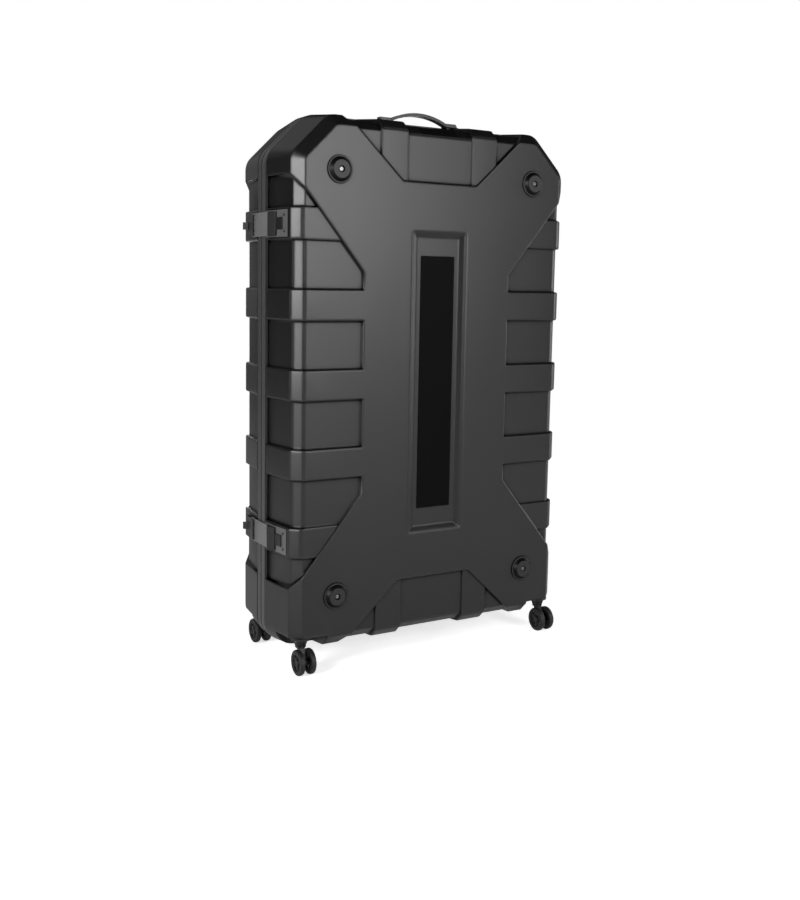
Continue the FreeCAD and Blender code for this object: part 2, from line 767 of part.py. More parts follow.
def make_caster_mount():
    """A caster's flanged socket, about its own swivel axis."""
    axis = ("0", "0", "0")
    flange_floor = "(pan_height - mount_flange_thickness)"
    flange = rod("mount_flange_form", "z", "mount_flange", (flange_floor, "pan_height"), axis)
    neck = taper("mount_neck_form", "z", ("mount_tip", "mount_neck"), (MOUNT_FLOOR, flange_floor), axis)
    socket_top = f"({FORK_TOP} + stem_length + rest_gap)"
    socket_span = (f"{MOUNT_FLOOR} - cut_margin", socket_top)
    socket = rod("mount_socket", "z", "stem_diameter + 2 * run_gap", socket_span, axis)
    holes = []
    for index, (across, back) in enumerate(mount_screw_places()):
        span = (f"{flange_floor} - mount_height", "pan_height + cut_margin")
        centre = (across, back, "0")
        holes.append(drill(f"mount_hole_{index}", "z", "small_shank", span, centre))
        seat = (f"{flange_floor} - mount_height", flange_floor)
        holes.append(rod(f"mount_head_room_{index}", "z", "small_head + head_room", seat, centre))
    return cut("mount_master", fuse("mount_solid", flange, neck), socket, *holes)


def mount_screw_places():
    """The three screws of a caster mount, about its swivel axis."""
    for turn in (90, 210, 330):
        angle = math.radians(turn)
        yield f"mount_screw_circle / 2 * {math.cos(angle)}", f"mount_screw_circle / 2 * {math.sin(angle)}"


def make_fork():
    """A caster's swivelling fork, with its stem, about its own swivel axis."""
    axis = ("0", "0", "0")
    disc = rod("fork_disc_form", "z", "fork_disc", (FORK_DISC_FLOOR, FORK_TOP), axis)
    stem = rod("fork_stem", "z", "stem_diameter", (FORK_DISC_FLOOR, f"{FORK_TOP} + stem_length"), axis)
    half = "fork_boss / 2"
    web = prism("fork_web", "YZ", [[
        (f"-caster_trail - {half}", AXLE_UP), (f"-caster_trail + {half}", AXLE_UP),
        (half, f"{FORK_DISC_FLOOR} + cut_margin"), (f"-{half}", f"{FORK_DISC_FLOOR} + cut_margin"),
    ]], "-fork_width / 2", "fork_width / 2")
    centre = ("0", "-caster_trail", AXLE_UP)
    boss = rod("fork_boss_form", "x", "fork_boss", ("-fork_width / 2", "fork_width / 2"), centre)
    bore = rod("fork_bore", "x", "axle_diameter + 2 * run_gap", ("-fork_width", "fork_width"), centre)
    return cut("fork_master", fuse("fork_solid", disc, stem, web, boss), bore)


def make_wheel():
    """The outer hub and tyre of a caster, on an axle along X through the origin."""
    inner, outer = "(wheel_pitch / 2 - wheel_width / 2)", "(wheel_pitch / 2 + wheel_width / 2)"
    rim = "(wheel_diameter / 2 - tyre_thickness)"
    bore = "(axle_diameter / 2 + run_gap)"
    boss = "(axle_diameter / 2 + hub_boss_wall)"
    web_in, web_out = "(wheel_pitch / 2 - web_inner)", "(wheel_pitch / 2 + web_outer)"
    near = "(fork_width / 2 + rest_gap)"
    boss_foot, rim_foot = f"{boss} + hub_step", f"{rim} - hub_rim_wall"
    rim_lip = f"{rim_foot} + hub_step"
    hub = turned("hub_master", [
        (near, bore), (outer, bore), (outer, boss), (web_out, boss_foot), (web_out, rim_foot),
        (outer, rim_lip), (outer, rim), (inner, rim), (inner, rim_lip), (web_in, rim_foot),
        (web_in, boss_foot), (inner, boss), (near, boss),
    ], "x")
    window = body_sketch(hub, "hub_window_sketch", "YZ_Plane", "0")
    low, high = f"{boss_foot} + hub_step", f"{boss_foot} + hub_step + window_height"
    draw(window, [(f"-{rim} / 2", low), (f"{rim} / 2", low), (f"{rim} / 2", high), (f"-{rim} / 2", high)])
    doc.recompute()
    pocket = hub.newObject("PartDesign::Pocket", "hub_window")
    pocket.Profile = window
    pocket.Type = "ThroughAll"
    pocket.Reversed = True
    pattern = hub.newObject("PartDesign::PolarPattern", "hub_windows")
    pattern.Originals = [pocket]
    pattern.Axis = (window, ["N_Axis"])
    pattern.Angle = 360
    pattern.Occurrences = 3
    hub.Tip = pattern
    tread = "(wheel_diameter / 2)"
    bend, fall = "tyre_thickness / 8", "tyre_thickness / 3"
    tyre = turned("tyre_master", [
        (inner, f"{rim} + run_gap"), (outer, f"{rim} + run_gap"), (outer, f"{tread} - {fall}"),
        (f"{outer} - {bend}", f"{tread} - {bend}"), (f"{outer} - {bend} - {fall}", tread),
        (f"{inner} + {bend} + {fall}", tread), (f"{inner} + {bend}", f"{tread} - {bend}"),
        (inner, f"{tread} - {fall}"),
    ], "x")
    return hub, tyre


def make_casters():
    """Four twin-wheel casters under the bottom corners, and the holes for their screws."""
    outer = "(wheel_pitch / 2 + wheel_width / 2)"
    axle_span = (f"-{outer} + hub_step", f"{outer} - hub_step")
    axle = rod("axle_master", "x", "axle_diameter", axle_span, ("0", "0", "0"))
    hub, tyre = make_wheel()
    pairs = {
        "mount": [make_caster_mount()],
        "fork": [make_fork()],
        "axle": [axle],
        "hubs": [hub, mirror("hub_mirrored", hub, X_AXIS)],
        "tyres": [tyre, mirror("tyre_mirrored", tyre, X_AXIS)],
    }
    holes = {FRONT: [], REAR: []}
    screws = {FRONT: [], REAR: []}
    for side, way in CORNERS:
        corner = CORNER_NAMES[side, way]
        half = FRONT if way < 0 else REAR
        across, back = f"{side} * caster_across / 2", f"{way} * caster_deep / 2"
        for piece, masters in pairs.items():
            copy = group(f"{corner}_{piece}_form", *masters)
            on_axle = piece in ("axle", "hubs", "tyres")
            bind(
                copy, Placement__Base__x=across,
                Placement__Base__y=f"{back} - caster_trail" if on_axle else back,
                Placement__Base__z=AXLE_UP if on_axle else "0",
            )
            keep(copy, f"{corner}_caster_{piece}")
        for index, (right, behind) in enumerate(mount_screw_places()):
            name = f"{corner}_caster_screw_{index}"
            centre = (f"{across} + {right}", f"{back} + {behind}", "0")
            seat = "pan_height - mount_flange_thickness"
            reach = "mount_flange_thickness + shell_wall + rest_gap"
            screws[half].append(screw(name, "z", SMALL_SCREW, seat, -1, reach, centre))
            span = ("pan_height - cut_margin", "pan_height + shell_wall + cut_margin")
            holes[half].append(drill(f"{name}_hole", "z", "small_shank", span, centre))
    for half in (FRONT, REAR):
        keep(group(f"{half}_caster_screw_group", *screws[half]), f"{half}_caster_screws")
    return holes


LUG_UP = f"({HANDLE_SEAT} + cap_height / 2)"


def make_handle():
    """The arched carry strap, its two end caps and their screws, and the holes for them."""
    body = doc.addObject("PartDesign::Body", "strap_form")
    sketch = body_sketch(body, "strap_sketch", "XZ_Plane", "handle_back - strap_width / 2")
    half, thick = f"({CAP_START} - rest_gap)", "strap_thickness"
    outer, inner = f"({LUG_UP} + {thick} / 2)", f"({LUG_UP} - {thick} / 2)"
    arch_line(sketch, half, outer, inner)
    pad = body.newObject("PartDesign::Pad", "strap_pad")
    pad.Profile = sketch
    bind(pad, Length="strap_width")
    lugs, holes, screws = [], [], []
    centre = ("0", "-handle_back", LUG_UP)
    for name, side in (("left", -1), ("right", 1)):
        near, far = f"({CAP_START})", f"({CAP_END})"
        lug_span = (f"{near} - strap_thickness", f"{near} + lug_length")
        bore_span = (f"{near} - cut_margin", f"{near} + lug_length + rest_gap")
        cap_span = (near, far)
        if side < 0:
            lug_span, bore_span, cap_span = [
                (f"-({end})", f"-({start})") for start, end in (lug_span, bore_span, cap_span)
            ]
        lugs.append(rod(f"{name}_lug", "x", "lug_diameter", lug_span, centre))
        base = block(
            f"{name}_cap_base", cap_span, ("-handle_back - cap_width / 2", "-handle_back + cap_width / 2"),
            (HANDLE_SEAT, f"{HANDLE_SEAT} + cap_height / 2"),
        )
        crown = block(
            f"{name}_cap_crown", cap_span, ("-handle_back - cap_width / 3", "-handle_back + cap_width / 3"),
            (f"{HANDLE_SEAT} + cap_height / 2", f"{HANDLE_SEAT} + cap_height"),
        )
        bore = rod(f"{name}_cap_bore", "x", "lug_diameter + 2 * run_gap", bore_span, centre)
        at = f"{side} * ({CAP_END} - cap_length / 4)"
        head_seat = f"{HANDLE_SEAT} + cap_height / 2"
        place_at = (at, "-handle_back", "0")
        room_span = (head_seat, f"{head_seat} + cap_height")
        room = rod(f"{name}_cap_head_room", "z", "screw_head + head_room", room_span, place_at)
        hole_span = (f"{HANDLE_SEAT} - cut_margin", f"{head_seat} + cut_margin")
        hole = drill(f"{name}_cap_hole", "z", "screw_shank", hole_span, place_at)
        cap = fuse(f"{name}_cap_form", base, crown)
        keep(cut(f"{name}_cap", cap, bore, room, hole), f"{name}_handle_cap")
        reach = "cap_height / 2 + wall_draft + saddle_rise"
        screws.append(screw(f"{name}_handle_screw", "z", LARGE_SCREW, head_seat, 1, reach, place_at))
        span = (f"{TOP} - 2 * wall_draft", f"{HANDLE_SEAT} + cut_margin")
        holes.append(drill(f"{name}_handle_hole", "z", "screw_shank", span, place_at))
    keep(fuse("strap_with_lugs", body, *lugs), "handle_strap")
    keep(group("handle_screw_group", *screws), "handle_screws")
    return holes


def arch_line(sketch, half, outer, inner):
    """A shallow arch between two upright ends: an outer and an inner arc of the same rise."""
    rise = "handle_rise - strap_thickness / 2"
    for base, direction in ((outer, 1), (inner, -1)):
        start = FreeCAD.Vector(-direction * value(half), value(base), 0)
        end = FreeCAD.Vector(direction * value(half), value(base), 0)
        crown = FreeCAD.Vector(0, value(f"{base} + {rise}"), 0)
        sketch.addGeometry(Part.ArcOfCircle(start, crown, end))
    for index, across in enumerate((half, f"-({half})")):
        low = FreeCAD.Vector(value(across), value(inner), 0)
        high = FreeCAD.Vector(value(across), value(outer), 0)
        sketch.addGeometry(Part.LineSegment(low, high))
        place(sketch, 2 + index, 1, across, inner)
        place(sketch, 2 + index, 2, across, outer)
    for arc, base, line_end in ((0, outer, 2), (1, inner, 1)):
        ends = sorted((1, 2), key=lambda end: sketch.getPoint(arc, end).x)
        sketch.addConstraint(Sketcher.Constraint("Coincident", arc, ends[0], 3, line_end))
        sketch.addConstraint(Sketcher.Constraint("Coincident", arc, ends[1], 2, line_end))
        radius = f"(({half}) ^ 2 + ({rise}) ^ 2) / (2 * ({rise}))"
        constraint = sketch.addConstraint(Sketcher.Constraint("Radius", arc, value(radius)))
        sketch.setExpression(f"Constraints[{constraint}]", formula(radius))


LEAN = f"atan({RIB_SLOPE})"
LATCHES = {"upper": 1, "lower": -1}
PIVOT_ACROSS = f"(-({SIDE} + latch_out))"
CRANK_ACROSS = f"({PIVOT_ACROSS} + bail_crank * sin({LEAN}))"
CRANK_BACK = f"(latch_back + bail_crank * cos({LEAN}))"


def latch_up(up):
    """Height of a latch's middle, on the top (1) or bottom (-1) rib."""
    return f"({RIB_MIDDLE} + {up} * 2 * rib_pitch)"


def left_at(back, out):
    """The X place on the left side at a distance outside the ribs there."""
    return f"-({side_at(back)} + ({out}))"


def latch_strip(name, up, height, corners):
    """An upright solid on the left side: an outline of (back, x) corners, as tall as height."""
    half = f"({height}) / 2"
    outline = [(across, back) for back, across in corners]
    return prism(name, "XY", [outline], f"{latch_up(up)} - {half}", f"{latch_up(up)} + {half}")


def make_latch_base(name, up):
    """The plate on the rear half that carries a latch's lever, with two ears for its pivot pin."""
    near = "latch_back - lever_barrel / 2 - cut_margin"
    far = f"{near} + latch_base_length"
    plate = latch_strip(f"{name}_plate", up, "latch_height", [
        (near, left_at(near, "0")), (far, left_at(far, "0")),
        (far, left_at(far, "latch_base_thickness")), (near, left_at(near, "latch_base_thickness")),
    ])
    pivot = (PIVOT_ACROSS, "latch_back", "0")
    solids = [plate]
    cuts = [rod(f"{name}_bore", "z", "pivot_pin + 2 * run_gap", latch_span(up, "latch_height"), pivot)]
    for index, way in enumerate((-1, 1)):
        middle = f"{latch_up(up)} + {way} * ear_pitch / 2"
        span = (f"{middle} - ear_width / 2", f"{middle} + ear_width / 2")
        solids.append(rod(f"{name}_ear_{index}", "z", "ear_thickness", span, pivot))
        half = "ear_thickness / 2"
        foot = left_at("latch_back", "latch_base_thickness / 2")
        solids.append(block(
            f"{name}_ear_foot_{index}", (PIVOT_ACROSS, foot),
            (f"latch_back - {half}", f"latch_back + {half}"), span,
        ))
    return solids, cuts


def latch_span(up, height):
    """Lowest and highest Z of a piece centred on a latch."""
    return f"{latch_up(up)} - ({height}) / 2", f"{latch_up(up)} + ({height}) / 2"


LEVER_HEIGHT = "(latch_height - 2 * bail_arm - 2 * rest_gap)"


def make_lever(name, up):
    """A latch's lever: a skin over two cheeks, a round front at the pivot and a finger tab behind."""
    half = f"{LEVER_HEIGHT} / 2"
    skin = prism(f"{name}_skin", "XY", [[
        ("-lever_top", "-lever_lip"), ("-lever_top", "lever_length"),
        ("-lever_top + lever_skin", "lever_length"), ("-lever_top + lever_skin", "-lever_lip"),
    ]], f"-({half})", half)
    solids = [skin]
    for index, way in enumerate((-1, 1)):
        span = (f"({half}) - lever_cheek", half)
        if way < 0:
            span = (f"-({half})", f"-({half}) + lever_cheek")
        solids.append(prism(f"{name}_cheek_{index}", "XY", [[
            ("-lever_top", "0"), ("-lever_top", "lever_length"),
            ("lever_floor", "lever_length"), ("lever_floor", "0"),
        ]], *span))
        solids.append(rod(f"{name}_barrel_{index}", "z", "lever_barrel", span, ("0", "0", "0")))
        trunnion = (half, f"({half}) + bail_arm + rest_gap")
        if way < 0:
            trunnion = (f"-({half}) - bail_arm - rest_gap", f"-({half})")
        crank = ("0", "bail_crank", "0")
        solids.append(rod(f"{name}_trunnion_{index}", "z", "trunnion_diameter", trunnion, crank))
    end = ("lever_length - lever_skin", "lever_length")
    solids.append(block(f"{name}_end", ("-lever_top", "lever_floor"), end, (f"-({half})", half)))
    tab = prism(f"{name}_tab", "XY", [[
        ("-lever_top", "lever_length - tab_foot"), ("-tab_rise", "lever_length - tab_tip"),
        ("-tab_rise", "lever_length"), ("-lever_top", "lever_length"),
    ]], "-tab_width / 2", "tab_width / 2")
    span = (f"-({half}) - cut_margin", f"{half} + cut_margin")
    bore = rod(f"{name}_bore", "z", "pivot_pin + 2 * run_gap", span, ("0", "0", "0"))
    lever = cut(f"{name}_form", fuse(f"{name}_solid", *solids, tab), bore)
    seated = group(f"{name}_seated", lever)
    seated.Placement = FreeCAD.Placement(FreeCAD.Vector(), FreeCAD.Rotation(-Z_AXIS, 1))
    return bind(
        seated, Placement__Base__x=PIVOT_ACROSS, Placement__Base__y="latch_back",
        Placement__Base__z=latch_up(up), Placement__Rotation__Angle=LEAN,
    )


def make_bail(name, up):
    """A latch's bail: a plate across the seam, with an arm beside each cheek of the lever."""
    under, over = f"-({SIDE} + bail_lift)", f"-({SIDE} + bail_lift + bail_thickness)"
    solids = [latch_strip(f"{name}_plate", up, "latch_height", [
        ("-bail_front", under), ("bail_back", under), ("bail_back", over), ("-bail_front", over),
    ])]
    wall = "(trunnion_diameter / 2 + bail_eye_wall)"
    arm = [
        (over, "bail_back - bail_overlap"), (over, f"{CRANK_BACK} + {wall}"),
        (f"{CRANK_ACROSS} + {wall}", f"{CRANK_BACK} + {wall}"),
        (f"{CRANK_ACROSS} + {wall}", f"{CRANK_BACK} - {wall}"), (under, "bail_back - bail_overlap"),
    ]
    low, high = latch_span(up, "latch_height")
    for index, span in enumerate(((low, f"{low} + bail_arm"), (f"{high} - bail_arm", high))):
        solids.append(prism(f"{name}_arm_{index}", "XY", [arm], *span))
    centre = (CRANK_ACROSS, CRANK_BACK, "0")
    span = latch_span(up, "latch_height + 2 * cut_margin")
    bore = rod(f"{name}_bore", "z", "trunnion_diameter + 2 * run_gap", span, centre)
    return cut(f"{name}_form", fuse(f"{name}_solid", *solids), bore)


def make_catch(name, up):
    """The front half's part of a latch: a thin plate and the block whose shelf the bail lies on."""
    def plate_top(back):
        return f"{side_at(back)} + catch_plate_thickness"

    def strip(piece, height, corners):
        return latch_strip(piece, up, height, [(f"-({back})", f"-({out})") for back, out in corners])

    near, far = "catch_plate_back", "catch_plate_front"
    plate = strip(f"{name}_plate", "latch_height + 2 * catch_plate_margin", [
        (near, side_at(near)), (far, side_at(far)), (far, plate_top(far)), (near, plate_top(near)),
    ])
    shelf = f"({SIDE} + bail_lift - rest_gap)"
    step = "bail_front + rest_gap"
    body = strip(f"{name}_body", "latch_height", [
        ("catch_shelf", plate_top("catch_shelf")), ("catch_front", plate_top("catch_front")),
        ("catch_front", f"{plate_top('catch_front')} + catch_rise / 2"),
        (f"{step} + catch_rise", f"{SIDE} + catch_rise"), (step, f"{SIDE} + catch_rise - catch_nose"),
        (step, shelf), ("catch_shelf", shelf),
    ])
    root, tip = "catch_front - catch_overlap", "catch_tab_front"
    tab = strip(f"{name}_tab", "catch_tab_height", [
        (root, plate_top(root)), (tip, plate_top(tip)),
        (tip, f"{plate_top(tip)} + catch_rise / 3"), (root, f"{plate_top(root)} + catch_rise / 3"),
    ])
    return plate, fuse(f"{name}_form", body, tab)


def make_latches():
    """Two draw latches on the left side, with their screws and the holes for them."""
    pins, plates, screws, catch_screws = [], [], [], []
    holes = {FRONT: [], REAR: []}
    for name, up in LATCHES.items():
        base, base_cuts = make_latch_base(f"{name}_base", up)
        for index, back in enumerate(("latch_back + latch_screw_first", "latch_back + latch_screw_second")):
            screw_name = f"{name}_latch_screw_{index}"
            centre = ("0", back, latch_up(up))
            screws.append(side_screw(screw_name, -1, f"{side_at(back)} + latch_base_thickness", centre))
            drilled = side_hole(f"{screw_name}_hole", -1, side_at(back), centre)
            base_cuts.append(drilled)
            holes[REAR].append(drilled)
        keep(cut(f"{name}_base_cut", fuse(f"{name}_base_form", *base), *base_cuts), f"{name}_latch_base")
        keep(make_lever(f"{name}_lever", up), f"{name}_latch_lever")
        keep(make_bail(f"{name}_bail", up), f"{name}_latch_bail")
        pivot = (PIVOT_ACROSS, "latch_back", "0")
        pins.append(rod(f"{name}_pin", "z", "pivot_pin", latch_span(up, LEVER_HEIGHT), pivot))
        plate, catch = make_catch(f"{name}_catch", up)
        drilled = []
        for index, way in enumerate((-1, 1)):
            back = "catch_tab_front + catch_screw_past"
            centre = ("0", f"-({back})", f"{latch_up(up)} + {way} * latch_height / 3")
            screw_name = f"{name}_catch_screw_{index}"
            surface = f"{side_at(back)} + catch_plate_thickness"
            catch_screws.append(side_screw(screw_name, -1, surface, centre))
            drilled.append(side_hole(f"{screw_name}_hole", -1, side_at(back), centre))
        holes[FRONT] += drilled
        plates.append(cut(f"{name}_catch_plate_cut", plate, *drilled))
        keep(catch, f"{name}_catch")
    keep(group("catch_plate_group", *plates), "catch_plates")
    keep(group("latch_pin_group", *pins), "latch_pins")
    keep(group("latch_screw_group", *screws), "latch_screws")
    keep(group("catch_screw_group", *catch_screws), "catch_screws")
    return holes


def side_screw(name, side, surface, centre):
    """A small screw square to the case's side, with its head just clear of the leaning surface."""
    seat = f"{side} * ({surface} + {RIB_SLOPE} * small_head / 2 + run_gap)"
    return screw(name, "x", SMALL_SCREW, seat, side, "side_screw_reach", centre)


def side_hole(name, side, surface, centre):
    """The hole for a small screw through what lies on the case's side and through its wall."""
    low, high = f"{surface} - 3 * shell_wall", f"{surface} + 2 * hinge_leaf"
    span = (low, high) if side > 0 else (f"-({high})", f"-({low})")
    return drill(name, "x", "small_shank", span, centre)


HINGE_ACROSS = f"({SIDE} + hinge_out)"


def make_hinges():
    """Three hinges on the right side, with their pins, screws and the holes for them."""
    leaves, screws, holes = {FRONT: [], REAR: []}, {FRONT: [], REAR: []}, {FRONT: [], REAR: []}
    pins = []
    centre = (HINGE_ACROSS, "0", "0")
    for index, step in enumerate((-2, 0, 2)):
        low = f"({RIB_MIDDLE} + {step} * rib_pitch - hinge_height / 2)"
        high = f"({low} + hinge_height)"
        pins.append(rod(f"hinge_pin_{index}", "z", "hinge_pin", (low, high), centre))
        for half, knuckles in ((FRONT, (1,)), (REAR, (0, 2))):
            name = f"{half}_hinge_{index}"
            leaf, cuts = make_leaf(name, half, low, high, knuckles)
            way = -1 if half == FRONT else 1
            backs = ("straight_edge + leaf_screw_inset", "hinge_leaf_reach - leaf_screw_inset")
            for number, back in enumerate(backs):
                height = f"({low} + {high}) / 2 + {number * 2 - 1} * hinge_height / 4"
                spot = ("0", f"{way} * ({back})", height)
                surface = f"{side_at(back)} + hinge_leaf"
                screws[half].append(side_screw(f"{name}_screw_{number}", 1, surface, spot))
                drilled = side_hole(f"{name}_hole_{number}", 1, side_at(back), spot)
                cuts.append(drilled)
                holes[half].append(drilled)
            leaves[half].append(cut(f"{name}_leaf", leaf, *cuts))
    for half in (FRONT, REAR):
        keep(group(f"{half}_hinge_leaf_group", *leaves[half]), f"{half}_hinge_leaves")
        keep(group(f"{half}_hinge_screw_group", *screws[half]), f"{half}_hinge_screws")
    keep(group("hinge_pin_group", *pins), "hinge_pins")
    return holes


def make_leaf(name, half, low, high, knuckles):
    """One hinge leaf, bent to lie on the rim and on a rib, with its knuckles about the hinge line."""
    way = -1 if half == FRONT else 1
    lip, bend, tip = "(seam_gap / 2 + rest_gap)", "straight_edge", "hinge_leaf_reach"
    corners = [
        (lip, SIDE), (bend, SIDE), (tip, side_at(tip)), (tip, f"{side_at(tip)} + hinge_leaf"),
        (bend, f"{SIDE} + hinge_leaf"), (lip, f"{SIDE} + hinge_leaf"),
    ]
    outline = [(out, f"{way} * ({back})") for back, out in corners]
    solids = [prism(f"{name}_plate", "XY", [outline], low, high)]
    centre = (HINGE_ACROSS, "0", "0")
    for knuckle in knuckles:
        start = f"{low} + hinge_height * {knuckle} / 3 + knuckle_gap / 2"
        end = f"{low} + hinge_height * {knuckle + 1} / 3 - knuckle_gap / 2"
        solids.append(rod(f"{name}_barrel_{knuckle}", "z", "hinge_barrel", (start, end), centre))
        back = (lip, "hinge_barrel / 2") if way > 0 else ("-hinge_barrel / 2", f"-{lip}")
        solids.append(block(f"{name}_web_{knuckle}", (SIDE, HINGE_ACROSS), back, (start, end)))
    bore_span = (f"{low} - cut_margin", f"{high} + cut_margin")
    bore = rod(f"{name}_bore", "z", "hinge_pin + 2 * run_gap", bore_span, centre)
    return fuse(f"{name}_form", *solids), [bore]


def make_lining():
    """A foam pad in each half, and two tie-down straps with buckles and anchors on the rear one."""
    faces = {
        FRONT: f"({FACE} - label_depth - shell_wall - rest_gap)",
        REAR: "(shell_depth - shell_wall - rest_gap)",
    }
    for half, face in faces.items():
        body = doc.addObject("PartDesign::Body", f"{half}_pad_form")
        near = f"{face} - pad_thickness"
        sketch = body_sketch(body, f"{half}_pad_sketch", "XZ_Plane", near if half == FRONT else f"-{face}")
        case_outline(sketch, "pad_inset")
        pad = body.newObject("PartDesign::Pad", f"{half}_pad_slab")
        pad.Profile = sketch
        bind(pad, Length="pad_thickness")
        keep(body, f"{half}_pad")
    lay = f"({faces[REAR]} - pad_thickness)"
    ties, buckles, anchors = [], [], []
    for up in (-1, 1):
        name = "upper" if up > 0 else "lower"
        middle = f"({MIDDLE} + {up} * tie_pitch / 2)"

        def piece(kind, across, height, depth):
            far, near = depth
            return block(
                f"{name}_{kind}", across, (f"{lay} - ({near})", f"{lay} - ({far})"),
                (f"{middle} - {height} / 2", f"{middle} + {height} / 2"),
            )

        ties.append(piece("tie", ("-tie_length / 2", "tie_length / 2"), "tie_width", ("0", "tie_thickness")))
        over = ("tie_thickness", "tie_thickness + buckle_thickness")
        buckles.append(piece("buckle", ("-buckle_length / 2", "buckle_length / 2"), "buckle_height", over))
        over = ("tie_thickness", "tie_thickness + anchor_thickness")
        end = "(tie_length / 2)"
        anchors.append(piece("left_anchor", (f"-{end}", f"-{end} + anchor_length"), "anchor_height", over))
        anchors.append(piece("right_anchor", (f"{end} - anchor_length", end), "anchor_height", over))
    keep(group("tie_group", *ties), "tie_straps")
    keep(group("buckle_group", *buckles), "tie_buckles")
    keep(group("anchor_group", *anchors), "tie_anchors")


def check_and_write():
    """Check every object and sub-part of the document, then write one file for each sub-part."""
    doc.recompute()
    failed = [thing.Name for thing in doc.Objects if {"Invalid", "Error"} & set(thing.State)]
    if failed:
        raise RuntimeError(f"objects failed to build: {failed}")
    for part in sub_parts:
        if part.Shape.isNull() or not part.Shape.isValid() or not part.Shape.Solids:
            raise RuntimeError(f"{part.Label} has no valid solid")
    os.makedirs("parts", exist_ok=True)
    for part in sub_parts:
        part.Shape.exportStep(f"parts/{part.Label}.step")
        box = part.Shape.BoundBox
        print(
            f"{part.Label}: {len(part.Shape.Solids)} solids, {part.Shape.Volume / 1000:.1f} cm3, "
            f"x {box.XMin:.1f} {box.XMax:.1f}, y {box.YMin:.1f} {box.YMax:.1f}, "
            f"z {box.ZMin:.1f} {box.ZMax:.1f}"
        )


front_holes = make_feet(FRONT) + make_handle()
rear_holes = make_feet(REAR)
for fitting in (make_casters, make_latches, make_hinges):
    fitting_holes = fitting()
    front_holes += fitting_holes[FRONT]
    rear_holes += fitting_holes[REAR]
make_shells(front_holes, rear_holes)
make_rims()
make_plates()
make_lining()
check_and_write()
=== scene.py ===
"""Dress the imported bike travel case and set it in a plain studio.

The CAD frame gives every size and place. Each sub-assembly is a class that makes softened or newly modelled
pieces over its CAD nodes, gives them a finish and lets them ride on the node's body.
"""
from __future__ import annotations

import json
import logging
import math
from contextlib import contextmanager
from dataclasses import dataclass
from enum import Enum
from typing import Iterator

import bpy
from mathutils import Matrix, Vector

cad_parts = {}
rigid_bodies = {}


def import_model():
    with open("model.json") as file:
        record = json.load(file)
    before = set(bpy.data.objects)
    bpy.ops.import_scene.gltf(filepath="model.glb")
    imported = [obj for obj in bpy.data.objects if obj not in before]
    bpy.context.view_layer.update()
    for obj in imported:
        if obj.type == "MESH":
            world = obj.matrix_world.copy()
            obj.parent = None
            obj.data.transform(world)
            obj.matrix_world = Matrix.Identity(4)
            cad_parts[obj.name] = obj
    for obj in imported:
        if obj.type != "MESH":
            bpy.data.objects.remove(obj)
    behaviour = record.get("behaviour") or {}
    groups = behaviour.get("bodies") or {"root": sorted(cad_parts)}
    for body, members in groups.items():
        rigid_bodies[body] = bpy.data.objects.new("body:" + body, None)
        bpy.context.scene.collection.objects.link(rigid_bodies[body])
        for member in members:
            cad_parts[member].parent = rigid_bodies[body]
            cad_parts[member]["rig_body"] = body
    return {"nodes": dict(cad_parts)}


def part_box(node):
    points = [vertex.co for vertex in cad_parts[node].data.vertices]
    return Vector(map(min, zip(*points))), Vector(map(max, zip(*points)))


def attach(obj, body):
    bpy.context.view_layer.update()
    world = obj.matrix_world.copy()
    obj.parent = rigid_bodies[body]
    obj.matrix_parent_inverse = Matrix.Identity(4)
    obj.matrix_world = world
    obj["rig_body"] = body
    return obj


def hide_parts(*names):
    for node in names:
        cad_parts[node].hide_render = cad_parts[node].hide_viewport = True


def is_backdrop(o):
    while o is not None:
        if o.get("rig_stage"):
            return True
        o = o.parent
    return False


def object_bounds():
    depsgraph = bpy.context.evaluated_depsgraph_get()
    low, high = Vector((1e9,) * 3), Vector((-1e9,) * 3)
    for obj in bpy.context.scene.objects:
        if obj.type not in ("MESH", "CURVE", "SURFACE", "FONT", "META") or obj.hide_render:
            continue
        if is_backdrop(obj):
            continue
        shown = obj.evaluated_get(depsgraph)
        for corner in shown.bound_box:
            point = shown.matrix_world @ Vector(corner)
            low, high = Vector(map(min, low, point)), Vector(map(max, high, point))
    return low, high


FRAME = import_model()
CAD_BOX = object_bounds()

logging.basicConfig(level=logging.INFO, format="%(message)s")
log = logging.getLogger("travel_case")

MM = 0.001
SIDES = (1.0, -1.0)
Pair = tuple[float, float]
Triple = tuple[float, float, float]
Colour = Triple
BLACK: Colour = (0.0, 0.0, 0.0)


class Half(Enum):
    """The two halves of the case, named as in the frame."""

    FRONT = "front"
    REAR = "rear"

    @property
    def body(self) -> str:
        """Name of the CAD body of this half."""
        return f"{self.value}_half"

    @property
    def way(self) -> int:
        """Sign of Y on this half's side of the seam."""
        return -1 if self is Half.FRONT else 1


class Corner(Enum):
    """The four casters, named as in the frame."""

    FRONT_LEFT = "front_left"
    FRONT_RIGHT = "front_right"
    REAR_LEFT = "rear_left"
    REAR_RIGHT = "rear_right"


class LatchPlace(Enum):
    """The two draw latches, named as in the frame."""

    UPPER = "upper"
    LOWER = "lower"


